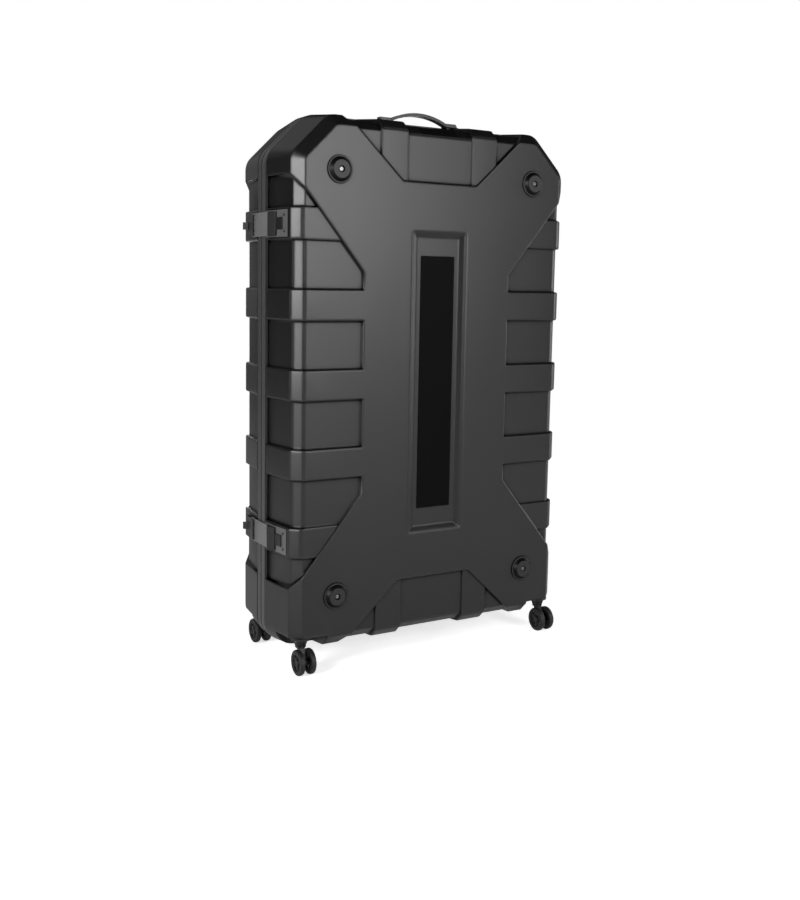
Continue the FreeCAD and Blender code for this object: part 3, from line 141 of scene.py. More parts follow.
class NodeBoard:
    """The node tree of a material or a world, with short ways to add and join nodes."""

    def __init__(self, owner: bpy.types.ID, output: str = "ShaderNodeOutputMaterial") -> None:
        """Start an empty tree with an output node.

        Args:
            owner: The new material or world.
            output: The output node's Blender type.
        """
        self.owner = owner
        owner.use_nodes = True
        self.tree = owner.node_tree
        self.tree.nodes.clear()
        self.output = self.tree.nodes.new(output)

    def add(self, kind: str, **settings: object) -> bpy.types.Node:
        """Add a node and set its properties.

        Args:
            kind: The node's Blender type.
            settings: Properties of the node by name.

        Returns:
            The new node.
        """
        node = self.tree.nodes.new(kind)
        for name, setting in settings.items():
            setattr(node, name, setting)
        return node

    def join(self, source: bpy.types.NodeSocket, target: bpy.types.NodeSocket) -> None:
        """Link an output socket to an input socket.

        Args:
            source: The output socket.
            target: The input socket.
        """
        self.tree.links.new(source, target)

    def place(self, scale: Triple = (1.0, 1.0, 1.0)) -> bpy.types.NodeSocket:
        """Give the surface's object coordinates through a mapping.

        Args:
            scale: Stretch of the coordinates along each axis.

        Returns:
            The mapped coordinates.
        """
        spot = self.add("ShaderNodeTexCoord")
        mapping = self.add("ShaderNodeMapping")
        mapping.inputs["Scale"].default_value = scale
        self.join(spot.outputs["Object"], mapping.inputs["Vector"])
        return mapping.outputs["Vector"]

    def noise(self, spot: bpy.types.NodeSocket, scale: float, detail: float = 3.0) -> bpy.types.NodeSocket:
        """Add a noise texture.

        Args:
            spot: The coordinates to read.
            scale: Blotches per metre.
            detail: Number of finer octaves.

        Returns:
            The noise value, from 0 to 1.
        """
        texture = self.add("ShaderNodeTexNoise")
        texture.inputs["Scale"].default_value = scale
        texture.inputs["Detail"].default_value = detail
        self.join(spot, texture.inputs["Vector"])
        return texture.outputs["Fac"]

    def span(self, value: bpy.types.NodeSocket, low: float, high: float, source: Pair = (0.0, 1.0),
             kind: str = "LINEAR") -> bpy.types.NodeSocket:
        """Map a value to another range.

        Args:
            value: The value to map.
            low: Result at the start of the source range.
            high: Result at its end.
            source: The source range.
            kind: Blender's name for the kind of step between the ends.

        Returns:
            The mapped value.
        """
        ranger = self.add("ShaderNodeMapRange", interpolation_type=kind)
        ranger.inputs["From Min"].default_value, ranger.inputs["From Max"].default_value = source
        ranger.inputs["To Min"].default_value, ranger.inputs["To Max"].default_value = low, high
        self.join(value, ranger.inputs["Value"])
        return ranger.outputs["Result"]

    def blend(self, share: bpy.types.NodeSocket, first: Colour | bpy.types.NodeSocket,
              second: Colour | bpy.types.NodeSocket) -> bpy.types.NodeSocket:
        """Mix two colours.

        Args:
            share: How much of the second colour shows.
            first: Colour at 0.
            second: Colour at 1.

        Returns:
            The mixed colour.
        """
        mix = self.add("ShaderNodeMix", data_type="RGBA")
        self.join(share, mix.inputs["Factor"])
        for name, colour in (("A", first), ("B", second)):
            if isinstance(colour, bpy.types.NodeSocket):
                self.join(colour, mix.inputs[name])
            else:
                mix.inputs[name].default_value = (*colour, 1.0)
        return mix.outputs["Result"]

    def maths(self, operation: str, first: bpy.types.NodeSocket,
              second: bpy.types.NodeSocket) -> bpy.types.NodeSocket:
        """Combine two values.

        Args:
            operation: Blender's name for the operation.
            first: The first value.
            second: The second value.

        Returns:
            The result.
        """
        node = self.add("ShaderNodeMath", operation=operation)
        for value, socket in zip((first, second), node.inputs):
            self.join(value, socket)
        return node.outputs["Value"]

    def cover(self, share: bpy.types.NodeSocket, first: bpy.types.NodeSocket,
              second: bpy.types.NodeSocket) -> bpy.types.NodeSocket:
        """Mix two shaders.

        Args:
            share: How much of the second shader shows.
            first: Shader at 0.
            second: Shader at 1.

        Returns:
            The mixed shader.
        """
        mix = self.add("ShaderNodeMixShader")
        for source, socket in zip((share, first, second), mix.inputs):
            self.join(source, socket)
        return mix.outputs["Shader"]

    def bump(self, height: bpy.types.NodeSocket, depth: float, strength: float) -> bpy.types.NodeSocket:
        """Turn a height into a bumped normal.

        Args:
            height: The height, from 0 to 1.
            depth: Depth of the relief in metres.
            strength: Share of the effect.

        Returns:
            The normal.
        """
        relief = self.add("ShaderNodeBump")
        relief.inputs["Distance"].default_value = depth
        relief.inputs["Strength"].default_value = strength
        self.join(height, relief.inputs["Height"])
        return relief.outputs["Normal"]


def shade(colour: Colour, factor: float) -> Colour:
    """Make a colour lighter or darker.

    Args:
        colour: The colour, linear.
        factor: What its parts are multiplied by.

    Returns:
        The new colour, with no part over 1.
    """
    return tuple(min(1.0, part * factor) for part in colour)


@dataclass(frozen=True)
class Finish:
    """A surface finish with grain, tone changes, rubbed edges and painted shade in inner corners.

    Attributes:
        name: The material's name.
        slot: The record's material slot, not used.
        colour: Base colour, linear.
        roughness: Mean roughness.
        metallic: 1 for bare metal.
        grain: Grains per metre.
        grain_depth: Depth of the grain in metres.
        tone: Share by which the colour changes over the surface.
        rub: How much lighter rubbed edges are, as a factor.
        gleam: Specular level, 0.5 for ordinary plastic.
        stretch: Stretch of the grain along X, Y and Z.
        crease_shade: Reach in metres of the painted shade that darkens inner corners, 0 for none.
        soft_radius: Radius in metres of softly moulded edges, 0 for crisp ones.
    """

    name: str
    slot: str
    colour: Colour
    roughness: float
    metallic: float = 0.0
    grain: float = 900.0
    grain_depth: float = 0.0002
    tone: float = 0.12
    rub: float = 1.5
    gleam: float = 0.5
    stretch: Triple = (1.0, 1.0, 1.0)
    crease_shade: float = 0.0
    soft_radius: float = 0.0

    TONE_SCALE = 9.0
    GRAIN_DETAIL = 4.0
    EDGE_RANGE = (0.505, 0.56)
    # Occlusion values over which the painted shade in inner corners fades out.
    CREASE_SHADE_RANGE = (0.6, 0.9)
    ROUGHNESS_SPREAD = 0.15
    RELIEF_STRENGTH = 0.5
    SHADER_SAMPLES = 8

    def make(self) -> bpy.types.Material:
        """Build the material.

        Returns:
            The new material.
        """
        board = NodeBoard(bpy.data.materials.new(self.name))
        shader = board.add("ShaderNodeBsdfPrincipled")
        shader.inputs["Metallic"].default_value = self.metallic
        shader.inputs["Specular IOR Level"].default_value = self.gleam
        colour = self.tint(board)
        # Painted shade: in inner corners and creases, ambient occlusion darkens the base colour towards black and
        # lowers the specular level.
        if self.crease_shade:
            clear = self.unshaded_share(board)
            board.join(board.span(clear, 0.0, self.gleam), shader.inputs["Specular IOR Level"])
            colour = board.blend(clear, BLACK, colour)
        board.join(colour, shader.inputs["Base Color"])
        height = self.relief(board)
        spread = self.roughness * self.ROUGHNESS_SPREAD
        board.join(
            board.span(height, self.roughness - spread, min(1.0, self.roughness + spread)),
            shader.inputs["Roughness"],
        )
        relief = board.bump(height, self.grain_depth, self.RELIEF_STRENGTH)
        if self.soft_radius:
            soft = board.add("ShaderNodeBevel", samples=self.SHADER_SAMPLES)
            soft.inputs["Radius"].default_value = self.soft_radius
            board.join(soft.outputs["Normal"], relief.node.inputs["Normal"])
        board.join(relief, shader.inputs["Normal"])
        board.join(shader.outputs["BSDF"], board.output.inputs["Surface"])
        return board.owner

    def tint(self, board: NodeBoard) -> bpy.types.NodeSocket:
        """The colour, with slow changes of tone and lighter rubbed edges.

        Args:
            board: The material's board.

        Returns:
            The colour.
        """
        slow = board.noise(board.place(), self.TONE_SCALE, self.GRAIN_DETAIL)
        base = board.blend(slow, shade(self.colour, 1.0 - self.tone), shade(self.colour, 1.0 + self.tone))
        edges = board.span(board.add("ShaderNodeNewGeometry").outputs["Pointiness"], 0.0, 1.0, self.EDGE_RANGE)
        return board.blend(edges, base, shade(self.colour, self.rub))

    def unshaded_share(self, board: NodeBoard) -> bpy.types.NodeSocket:
        """How clear of inner corners a point is, for the painted shade that darkens them.

        Args:
            board: The material's board.

        Returns:
            0 deep in a corner, 1 in the open.
        """
        shadow = board.add("ShaderNodeAmbientOcclusion", samples=self.SHADER_SAMPLES)
        shadow.inputs["Distance"].default_value = self.crease_shade
        return board.span(shadow.outputs["AO"], 0.0, 1.0, self.CREASE_SHADE_RANGE)

    def relief(self, board: NodeBoard) -> bpy.types.NodeSocket:
        """The height of the fine grain.

        Args:
            board: The material's board.

        Returns:
            The height, from 0 to 1.
        """
        return board.noise(board.place(self.stretch), self.grain, self.GRAIN_DETAIL)


@dataclass(frozen=True)
class PebbledFinish(Finish):
    """Moulded plastic with a pebbled grain, as vacuum-formed sheet has."""

    FINE_SHARE = 0.35
    FINE_SCALE = 1.7

    def relief(self, board: NodeBoard) -> bpy.types.NodeSocket:
        """The height of the pebbles, with finer noise over them.

        Args:
            board: The material's board.

        Returns:
            The height, from 0 to 1.
        """
        pebbles = board.add("ShaderNodeTexVoronoi", feature="SMOOTH_F1")
        pebbles.inputs["Scale"].default_value = self.grain
        board.join(board.place(), pebbles.inputs["Vector"])
        mix = board.add("ShaderNodeMix", data_type="FLOAT")
        mix.inputs["Factor"].default_value = self.FINE_SHARE
        board.join(pebbles.outputs["Distance"], mix.inputs["A"])
        board.join(board.noise(board.place(), self.grain * self.FINE_SCALE), mix.inputs["B"])
        return mix.outputs["Result"]


@dataclass(frozen=True)
class WovenFinish(Finish):
    """Cloth or webbing with crossing threads.

    Attributes:
        thread: Threads per metre.
    """

    thread: float = 700.0

    WAVE_SCALE = 6.28
    THREAD_WANDER = 0.6
    WANDER_SCALE = 2.0

    def relief(self, board: NodeBoard) -> bpy.types.NodeSocket:
        """The height of the crossing threads.

        Args:
            board: The material's board.

        Returns:
            The height, from 0 to 1.
        """
        waves = []
        for direction in ("X", "Z"):
            wave = board.add("ShaderNodeTexWave", bands_direction=direction)
            wave.inputs["Scale"].default_value = self.thread / self.WAVE_SCALE
            wave.inputs["Distortion"].default_value = self.THREAD_WANDER
            wave.inputs["Detail Scale"].default_value = self.WANDER_SCALE
            board.join(board.place(), wave.inputs["Vector"])
            waves.append(wave.outputs["Fac"])
        return board.maths("MAXIMUM", *waves)


# The shell's crease setting paints shade into its inner corners and creases.
SHELL = PebbledFinish("shell_charcoal", "shell", (0.0028, 0.0028, 0.0029), 0.38, grain=1100, grain_depth=0.00006,
                      crease_shade=0.016, soft_radius=0.007)
RIM = Finish("rim_grey", "rim", (0.025, 0.025, 0.026), 0.38, grain=500, grain_depth=0.00005)
# Painted shade: the rear rim is the grey rim made darker, for the shade in the seam beside it.
REAR_RIM_SHADED = Finish("rim_grey_painted_shade", "rim", (0.02, 0.02, 0.0205), 0.38, grain=500, grain_depth=0.00005)
# Bumpers: one black rubber, with the sides made darker and less shiny as painted shade and the tops that look out
# lighter and shinier as painted light.
RUBBER = Finish("bumper_rubber", "rubber", (0.003, 0.003, 0.003), 0.36, grain=1500, grain_depth=0.00008,
                gleam=0.1)
FOOT_TOP_LIT = Finish("bumper_top_painted_light", "rubber", (0.007, 0.007, 0.007), 0.5, grain=1500, grain_depth=0.00012,
                  gleam=0.4)
GRIP = PebbledFinish("handle_grip", "rubber", (0.018, 0.018, 0.018), 0.5, grain=900, grain_depth=0.0001)
TRIM = Finish("handle_cap_black", "trim", (0.016, 0.016, 0.016), 0.4, grain=1200, grain_depth=0.00005)
PLATE = Finish("bare_plate_black", "plate", (0.0022, 0.0022, 0.0022), 0.42, grain=300, grain_depth=0.00001,
               tone=0.2, rub=1.6, gleam=0.02)
LATCH = Finish("latch_black", "latch", (0.007, 0.007, 0.007), 0.4, grain=1300, grain_depth=0.00005, gleam=0.35)
BAIL = Finish("bail_grey", "bail_metal", (0.07, 0.07, 0.072), 0.4, grain=260, grain_depth=0.00003,
              stretch=(1.0, 1.0, 9.0))
CATCH_PLATE = Finish("catch_plate_grey", "bail_metal", (0.055, 0.055, 0.057), 0.42, grain=260, grain_depth=0.00003)
STEEL = Finish("screw_steel", "steel", (0.22, 0.22, 0.225), 0.34, metallic=1.0, grain=1400,
               grain_depth=0.00003, tone=0.06, rub=1.15)
DARK_STEEL = Finish("screw_black", "steel", (0.03, 0.03, 0.031), 0.38, metallic=0.4, grain=1400,
                    grain_depth=0.00003, tone=0.06, rub=2.0)
HINGE = Finish("hinge_black", "hinge_metal", (0.022, 0.022, 0.023), 0.4, metallic=0.3, grain=900,
               grain_depth=0.00005, rub=3.0)
FOAM = WovenFinish("lining_cloth", "foam", (0.05, 0.051, 0.054), 0.85, grain_depth=0.0003, rub=1.1, thread=1400)
WEBBING = WovenFinish("tie_webbing", "webbing", (0.016, 0.016, 0.017), 0.7, grain_depth=0.0004, rub=1.2, thread=900)
PIPING = Finish("lining_piping", "webbing", (0.014, 0.014, 0.015), 0.6, grain=1600, grain_depth=0.0002)
THREAD = Finish("strap_thread", "webbing", (0.16, 0.16, 0.165), 0.7, grain=3000, grain_depth=0.0001)
BUCKLE = Finish("buckle_black", "buckle", (0.015, 0.015, 0.015), 0.35, grain=1200, grain_depth=0.00004)
CASTER = Finish("caster_black", "caster_plastic", (0.007, 0.007, 0.007), 0.4, grain=1200, grain_depth=0.00005,
                gleam=0.4)
AXLE = Finish("axle_steel", "axle_steel", (0.09, 0.09, 0.092), 0.36, metallic=1.0, grain=1200, grain_depth=0.00002)
TYRE = Finish("caster_tyre", "tyre", (0.007, 0.007, 0.007), 0.5, grain=1500, grain_depth=0.0001, gleam=0.35)


class Bench:
    """Modelling by hand: selection, copies of CAD nodes, softening and finishing.

    Attributes:
        materials: The materials made so far, by name.
    """

    MERGE = 0.02 * MM
    FLAT = math.radians(1.0)
    SMOOTH = math.radians(35.0)
    FLAT_WEIGHT = 60
    BLOCK_STEPS = 3
    materials: dict[str, bpy.types.Material] = {}

    @staticmethod
    def clear() -> None:
        """Leave edit mode and deselect every object."""
        if bpy.context.object and bpy.context.object.mode != "OBJECT":
            bpy.ops.object.mode_set(mode="OBJECT")
        bpy.ops.object.select_all(action="DESELECT")

    @classmethod
    def pick(cls, piece: bpy.types.Object) -> None:
        """Make a piece the only selected and active object.

        Args:
            piece: The piece.
        """
        cls.clear()
        piece.select_set(True)
        bpy.context.view_layer.objects.active = piece

    @classmethod
    @contextmanager
    def editing(cls, piece: bpy.types.Object, mode: str = "FACE", whole: bool = False) -> Iterator[None]:
        """Edit one piece's mesh.

        Args:
            piece: The piece.
            mode: VERT, EDGE or FACE selection.
            whole: Whether all of the mesh is selected first.

        Returns:
            A context in which edit-mode operators act on the piece.
        """
        cls.pick(piece)
        bpy.ops.object.mode_set(mode="EDIT")
        bpy.ops.mesh.select_mode(type=mode)
        if whole:
            bpy.ops.mesh.select_all(action="SELECT")
        try:
            yield
        finally:
            bpy.ops.object.mode_set(mode="OBJECT")

    @staticmethod
    def put(name: str, mesh: bpy.types.Mesh) -> bpy.types.Object:
        """Put a copy of a mesh in the scene.

        Args:
            name: The new piece's name.
            mesh: The mesh that is copied.

        Returns:
            The new piece, at the origin.
        """
        piece = bpy.data.objects.new(name, mesh.copy())
        bpy.context.scene.collection.objects.link(piece)
        return piece

    @classmethod
    def copy_of(cls, node: str, name: str, splits: tuple[float, ...] = ()) -> bpy.types.Object:
        """Copy a CAD node's mesh, with its triangles joined and its flat faces made whole.

        Args:
            node: The CAD node.
            name: The new piece's name.
            splits: Places along X where flat faces stay split, so that no face has a hole in it.

        Returns:
            The new piece, at the origin.
        """
        piece = cls.put(name, FRAME["nodes"][node].data)
        with cls.editing(piece, whole=True):
            bpy.ops.mesh.customdata_custom_splitnormals_clear()
            bpy.ops.mesh.remove_doubles(threshold=cls.MERGE)
            for across in splits:
                bpy.ops.mesh.select_all(action="SELECT")
                bpy.ops.mesh.bisect(plane_co=(across, 0.0, 0.0), plane_no=(1.0, 0.0, 0.0))
                bpy.ops.mesh.mark_seam()
            bpy.ops.mesh.select_all(action="SELECT")
            bpy.ops.mesh.dissolve_limited(angle_limit=cls.FLAT, delimit={"SEAM"})
        return piece

    @classmethod
    def apply(cls, piece: bpy.types.Object) -> None:
        """Apply all of a piece's modifiers in order.

        Args:
            piece: The piece.
        """
        cls.pick(piece)
        for modifier in list(piece.modifiers):
            bpy.ops.object.modifier_apply(modifier=modifier.name)

    @classmethod
    def round_edges(cls, piece: bpy.types.Object, width: float, segments: int = 2, angle: float = 32.0) -> None:
        """Round a piece's sharp edges.

        Args:
            piece: The piece.
            width: Width of the rounding in metres.
            segments: Steps across it.
            angle: Least angle in degrees of an edge that is rounded.
        """
        bevel = piece.modifiers.new("edges", "BEVEL")
        bevel.width = width
        bevel.segments = segments
        bevel.limit_method = "ANGLE"
        bevel.angle_limit = math.radians(angle)
        bevel.miter_outer = "MITER_ARC"
        cls.apply(piece)

    @classmethod
    def smooth(cls, piece: bpy.types.Object) -> None:
        """Shade a piece smooth, with flat faces kept flat.

        Args:
            piece: The piece.
        """
        cls.pick(piece)
        bpy.ops.object.shade_smooth_by_angle(angle=cls.SMOOTH)
        weighted = piece.modifiers.new("flat_faces", "WEIGHTED_NORMAL")
        weighted.keep_sharp = True
        weighted.weight = cls.FLAT_WEIGHT
        cls.apply(piece)

    @classmethod
    def block(cls, name: str, low: Triple, high: Triple, rounding: float = 0.0) -> bpy.types.Object:
        """Model a block between two corners, with rounded edges.

        Args:
            name: The block's name.
            low: Its lowest corner.
            high: Its highest corner.
            rounding: Width of its rounded edges in metres, 0 for sharp ones.

        Returns:
            The block, at the origin.
        """
        cls.clear()
        middle = [(a + b) / 2 for a, b in zip(low, high)]
        bpy.ops.mesh.primitive_cube_add(size=1.0, location=middle)
        piece = bpy.context.object
        piece.name = name
        piece.scale = [b - a for a, b in zip(low, high)]
        bpy.ops.object.transform_apply(location=True, rotation=True, scale=True)
        if rounding:
            with cls.editing(piece, "EDGE", whole=True):
                bpy.ops.mesh.bevel(offset=rounding, segments=cls.BLOCK_STEPS, affect="EDGES")
        return piece

    @classmethod
    def cut(cls, piece: bpy.types.Object, *tools: bpy.types.Object) -> bpy.types.Object:
        """Cut tools out of a piece and delete them.

        Args:
            piece: The piece that is cut.
            tools: Closed meshes to take away.

        Returns:
            The piece.
        """
        for tool in tools:
            knife = piece.modifiers.new("window", "BOOLEAN")
            knife.operation = "DIFFERENCE"
            knife.object = tool
            cls.apply(piece)
            bpy.data.objects.remove(tool)
        return piece

    @classmethod
    def copies(cls, piece: bpy.types.Object, shifts: list[Triple], name: str) -> bpy.types.Object:
        """Join shifted copies of a piece, each with its own mesh, in place of the piece.

        Args:
            piece: The piece that is repeated.
            shifts: Where each copy goes, from the piece's own place.
            name: The joined piece's name.

        Returns:
            The joined piece.
        """
        made = [cls.put(name, piece.data) for _ in shifts]
        for copy, shift in zip(made, shifts):
            copy.data.transform(Matrix.Translation(shift))
        bpy.data.objects.remove(piece)
        return cls.join(made, name)

    @classmethod
    def join(cls, pieces: list[bpy.types.Object], name: str) -> bpy.types.Object:
        """Join pieces into the first one.

        Args:
            pieces: The pieces.
            name: The joined piece's name.

        Returns:
            The joined piece.
        """
        cls.clear()
        for piece in pieces:
            piece.select_set(True)
        bpy.context.view_layer.objects.active = pieces[0]
        bpy.ops.object.join()
        pieces[0].name = name
        return pieces[0]

    @classmethod
    def pick_faces(cls, piece: bpy.types.Object, way: Vector, least: float = 0.99) -> list[bpy.types.MeshPolygon]:
        """Select the faces of a piece that look one way.

        Args:
            piece: The piece, in object mode.
            way: The direction that the faces look in.
            least: Least cosine of the angle between a face's normal and the direction.

        Returns:
            The selected faces.
        """
        mesh = piece.data
        for parts in (mesh.polygons, mesh.edges, mesh.vertices):
            parts.foreach_set("select", [False] * len(parts))
        found = [face for face in mesh.polygons if face.normal.dot(way) > least]
        for face in found:
            face.select = True
        return found

    @classmethod
    def material(cls, finish: Finish) -> bpy.types.Material:
        """Give the material of a finish, made once.

        Args:
            finish: The finish.

        Returns:
            Its material.
        """
        if finish.name not in cls.materials:
            cls.materials[finish.name] = finish.make()
        return cls.materials[finish.name]

    @classmethod
    def finish(cls, piece: bpy.types.Object, finish: Finish, body: str, *nodes: str) -> bpy.types.Object:
        """Give a new piece its finish and its body, and hide the CAD nodes that it stands for.

        Args:
            piece: The finished mesh, at the origin.
            finish: Its finish.
            body: The CAD body that it rides on.
            nodes: The CAD nodes that it replaces.

        Returns:
            The piece.
        """
        piece.data.materials.clear()
        piece.data.materials.append(cls.material(finish))
        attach(piece, body)
        if nodes:
            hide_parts(*nodes)
        log.info("%s: %d faces on %s", piece.name, len(piece.data.polygons), body)
        return piece

    @classmethod
    def soften(cls, node: str, finish: Finish, width: float, segments: int = 2) -> bpy.types.Object:
        """Replace a rigid CAD node by a copy with rounded edges.

        Args:
            node: The CAD node.
            finish: Its finish.
            width: Width of the rounding in metres.
            segments: Steps across it.

        Returns:
            The new piece.
        """
        piece = cls.copy_of(node, f"{node}_soft")
        cls.round_edges(piece, width, segments)
        cls.smooth(piece)
        return cls.finish(piece, finish, body_of(node), node)


def body_of(node: str) -> str:
    """Name the CAD body that a node belongs to.

    Args:
        node: The CAD node.

    Returns:
        The body's name.
    """
    return FRAME["nodes"][node]["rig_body"]


@dataclass
class MouldEdge:
    """An edge of the shell that gets a moulded radius.

    Attributes:
        index: The edge's number.
        ends: The numbers of its two points.
        way: Its direction.
        convex: Whether it is a crest and not an inner corner.
        room: Width of the narrower face beside it, in metres.
    """

    index: int
    ends: tuple[int, int]
    way: Vector
    convex: bool
    room: float


@dataclass
class HalfShell:
    """One ribbed half shell, with soft moulded edges.

    Attributes:
        half: Which half.
        crest: Width of the rounding on outer edges, in metres.
        steps: Steps across the rounding.
        profile: Shape of the rounding, 0.5 for a round one and less for a flatter one.
        root_share: Rounding of inner corners as a share of the crest's.
        shortest: Shortest edge that is rounded, which leaves screw holes alone.
        least_angle: Least angle in degrees of an edge that is rounded.
        crest_part: Most of the width beside it that the rounding of a crest takes up.
        root_part: Most of the width beside it that the rounding of an inner corner takes up.
        chain_cosine: Least cosine of the turn at which two edges count as one run.
        foot_split: Distance from the foot screws' outer side to a line through their holes.
        pan_width: Reach of the caster pans from the shell's sides.
        pan_height: Reach of the caster pans from the shell's lowest point.
        pan_room: Most room that an edge beside a pan counts with.
    """

    half: Half
    crest: float = 5.5 * MM
    steps: int = 3
    profile: float = 0.36
    root_share: float = 0.35
    shortest: float = 1.4 * MM
    least_angle: float = 20.0
    crest_part: float = 0.48
    root_part: float = 0.24
    chain_cosine: float = 0.86
    foot_split: float = 5.5 * MM
    pan_width: float = 115 * MM
    pan_height: float = 57 * MM
    pan_room: float = 1.2 * MM

    SAMPLES = (0.06, 0.5, 0.94)
    NEAREST = 0.14 * MM
    CORE_WIDTH = 0.7
    CORE_DEPTH = 0.5
    CORE_INSET = 0.2
    LEAST_OUTWARD = 0.2

    @property
    def node(self) -> str:
        """The shell's CAD node."""
        return f"{self.half.value}_shell"

    def build(self) -> None:
        """Copy the shell, round its outer edges and finish it."""
        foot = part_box(f"{self.half.value}_foot_screws")[1].x - self.foot_split
        piece = Bench.copy_of(self.node, f"{self.node}_moulded", (-foot, 0.0, foot))
        self.weigh_edges(piece.data)
        bevel = piece.modifiers.new("mould_radii", "BEVEL")
        bevel.width = self.crest
        bevel.segments = self.steps
        bevel.limit_method = "WEIGHT"
        bevel.profile = self.profile
        bevel.use_clamp_overlap = False
        bevel.miter_outer = "MITER_ARC"
        Bench.apply(piece)
        Bench.smooth(piece)
        Bench.finish(piece, SHELL, self.half.body, self.node)

    def weigh_edges(self, mesh: bpy.types.Mesh) -> None:
        """Give each outer edge a weight that its narrowest neighbour along the same run has room for.

        Args:
            mesh: The mesh of the shell's copy.
        """
        edges = self.mould_edges(mesh)
        weights = mesh.attributes.new("bevel_weight_edge", "FLOAT", "EDGE")
        for run in self.runs(edges):
            room = min(edge.room for edge in run)
            if run[0].convex:
                weight = min(1.0, room / self.crest * self.crest_part)
            else:
                weight = min(self.root_share, room / self.crest * self.root_part)
            for edge in run:
                weights.data[edge.index].value = weight

    def mould_edges(self, mesh: bpy.types.Mesh) -> list[MouldEdge]:
        """Find the shell's outer edges, with the room beside each.

        Args:
            mesh: The mesh of the shell's copy.

        Returns:
            The edges that get a radius.
        """
        low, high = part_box(self.node)
        depths = sorted((low.y * self.CORE_DEPTH, high.y * self.CORE_DEPTH))
        core_low = Vector((low.x * self.CORE_WIDTH, depths[0], low.z + self.CORE_INSET))
        core_high = Vector((high.x * self.CORE_WIDTH, depths[1], high.z - self.CORE_INSET))
        faces: dict[tuple[int, int], list[bpy.types.MeshPolygon]] = {}
        for face in mesh.polygons:
            for key in face.edge_keys:
                faces.setdefault(key, []).append(face)
        found = []
        for edge in mesh.edges:
            pair = faces.get(tuple(sorted(edge.vertices)), [])
            start, end = (mesh.vertices[index].co for index in edge.vertices)
            if len(pair) != 2 or (end - start).length < self.shortest:
                continue
            first, second = pair
            if math.degrees(first.normal.angle(second.normal, 0.0)) < self.least_angle:
                continue
            middle = (start + end) / 2
            nearest = Vector(max(lo, min(hi, part)) for part, lo, hi in zip(middle, core_low, core_high))
            outward = (middle - nearest).normalized()
            if outward.dot((first.normal + second.normal).normalized()) < self.LEAST_OUTWARD:
                continue
            ends, way = tuple(edge.vertices), (end - start).normalized()
            inward = [self.inward(face, ends, way) for face in pair]
            convex = inward[1].dot(first.normal) < 0
            room = min(self.reach(mesh, face, start, end, across) for face, across in zip(pair, inward))
            if middle.z < low.z + self.pan_height and abs(middle.x) > high.x - self.pan_width:
                room = min(room, self.pan_room)
            found.append(MouldEdge(edge.index, ends, way, convex, room))
        return found

    @staticmethod
    def inward(face: bpy.types.MeshPolygon, ends: tuple[int, int], way: Vector) -> Vector:
        """The direction from an edge into one of its faces.

        Args:
            face: The face.
            ends: The numbers of the edge's points.
            way: The edge's direction from its first point.

        Returns:
            The direction in the face's plane, at right angles to the edge.
        """
        points = list(face.vertices)
        place = points.index(ends[0])
        forward = points[(place + 1) % len(points)] == ends[1]
        return face.normal.cross(way if forward else -way).normalized()

    def reach(self, mesh: bpy.types.Mesh, face: bpy.types.MeshPolygon, start: Vector, end: Vector,
              across: Vector) -> float:
        """How far a face goes on beside one of its edges, at the narrowest of a few places.

        Args:
            mesh: The mesh of the shell's copy.
            face: The face.
            start: One end of the edge.
            end: The edge's other end.
            across: The direction from the edge into the face.

        Returns:
            The least distance across the face in metres.
        """
        along = (end - start).normalized()
        corners = []
        for index in face.vertices:
            spoke = mesh.vertices[index].co - start
            corners.append((spoke.dot(along), spoke.dot(across)))
        sides = list(zip(corners, corners[1:] + corners[:1]))
        least = math.inf
        length = (end - start).length
        for share in self.SAMPLES:
            spot = length * share
            for (first_along, first_across), (last_along, last_across) in sides:
                if (first_along - spot) * (last_along - spot) >= 0:
                    continue
                part = (spot - first_along) / (last_along - first_along)
                away = first_across + part * (last_across - first_across)
                if away > self.NEAREST:
                    least = min(least, away)
        return least

    def runs(self, edges: list[MouldEdge]) -> list[list[MouldEdge]]:
        """Gather edges of one kind that follow each other without a sharp turn.

        Args:
            edges: The edges that get a radius.

        Returns:
            The runs of edges.
        """
        at_point: dict[int, list[int]] = {}
        for number, edge in enumerate(edges):
            for point in edge.ends:
                at_point.setdefault(point, []).append(number)
        leader = list(range(len(edges)))

        def top(number: int) -> int:
            """Find the edge that leads an edge's run.

            Args:
                number: The edge's place in the list.

            Returns:
                The leading edge's place in the list.
            """
            while leader[number] != number:
                number = leader[number]
            return number

        for numbers in at_point.values():
            for place, first in enumerate(numbers):
                for second in numbers[place + 1:]:
                    straight = abs(edges[first].way.dot(edges[second].way)) > self.chain_cosine
                    if straight and edges[first].convex == edges[second].convex:
                        leader[top(first)] = top(second)
        gathered: dict[int, list[MouldEdge]] = {}
        for number, edge in enumerate(edges):
            gathered.setdefault(top(number), []).append(edge)
        return list(gathered.values())


@dataclass
class Feet:
    """The four round bumpers on a half, black, with a duller top that is painted lighter and shinier as painted light.

    Attributes:
        half: Which half.
        rounding: Width of their rounded edges in metres.
    """

    half: Half
    rounding: float = 1.2 * MM

    STEPS = 3
    TOP_COSINE = 0.9

    def build(self) -> None:
        """Soften the feet and give their tops their own finish, painted lighter and shinier as painted light."""
        node = f"{self.half.value}_feet"
        piece = Bench.soften(node, RUBBER, self.rounding, self.STEPS)
        # The tops that look out get the lighter, shinier finish, painted light.
        piece.data.materials.append(Bench.material(FOOT_TOP_LIT))
        for face in Bench.pick_faces(piece, Vector((0.0, self.half.way, 0.0)), self.TOP_COSINE):
            face.material_index = 1


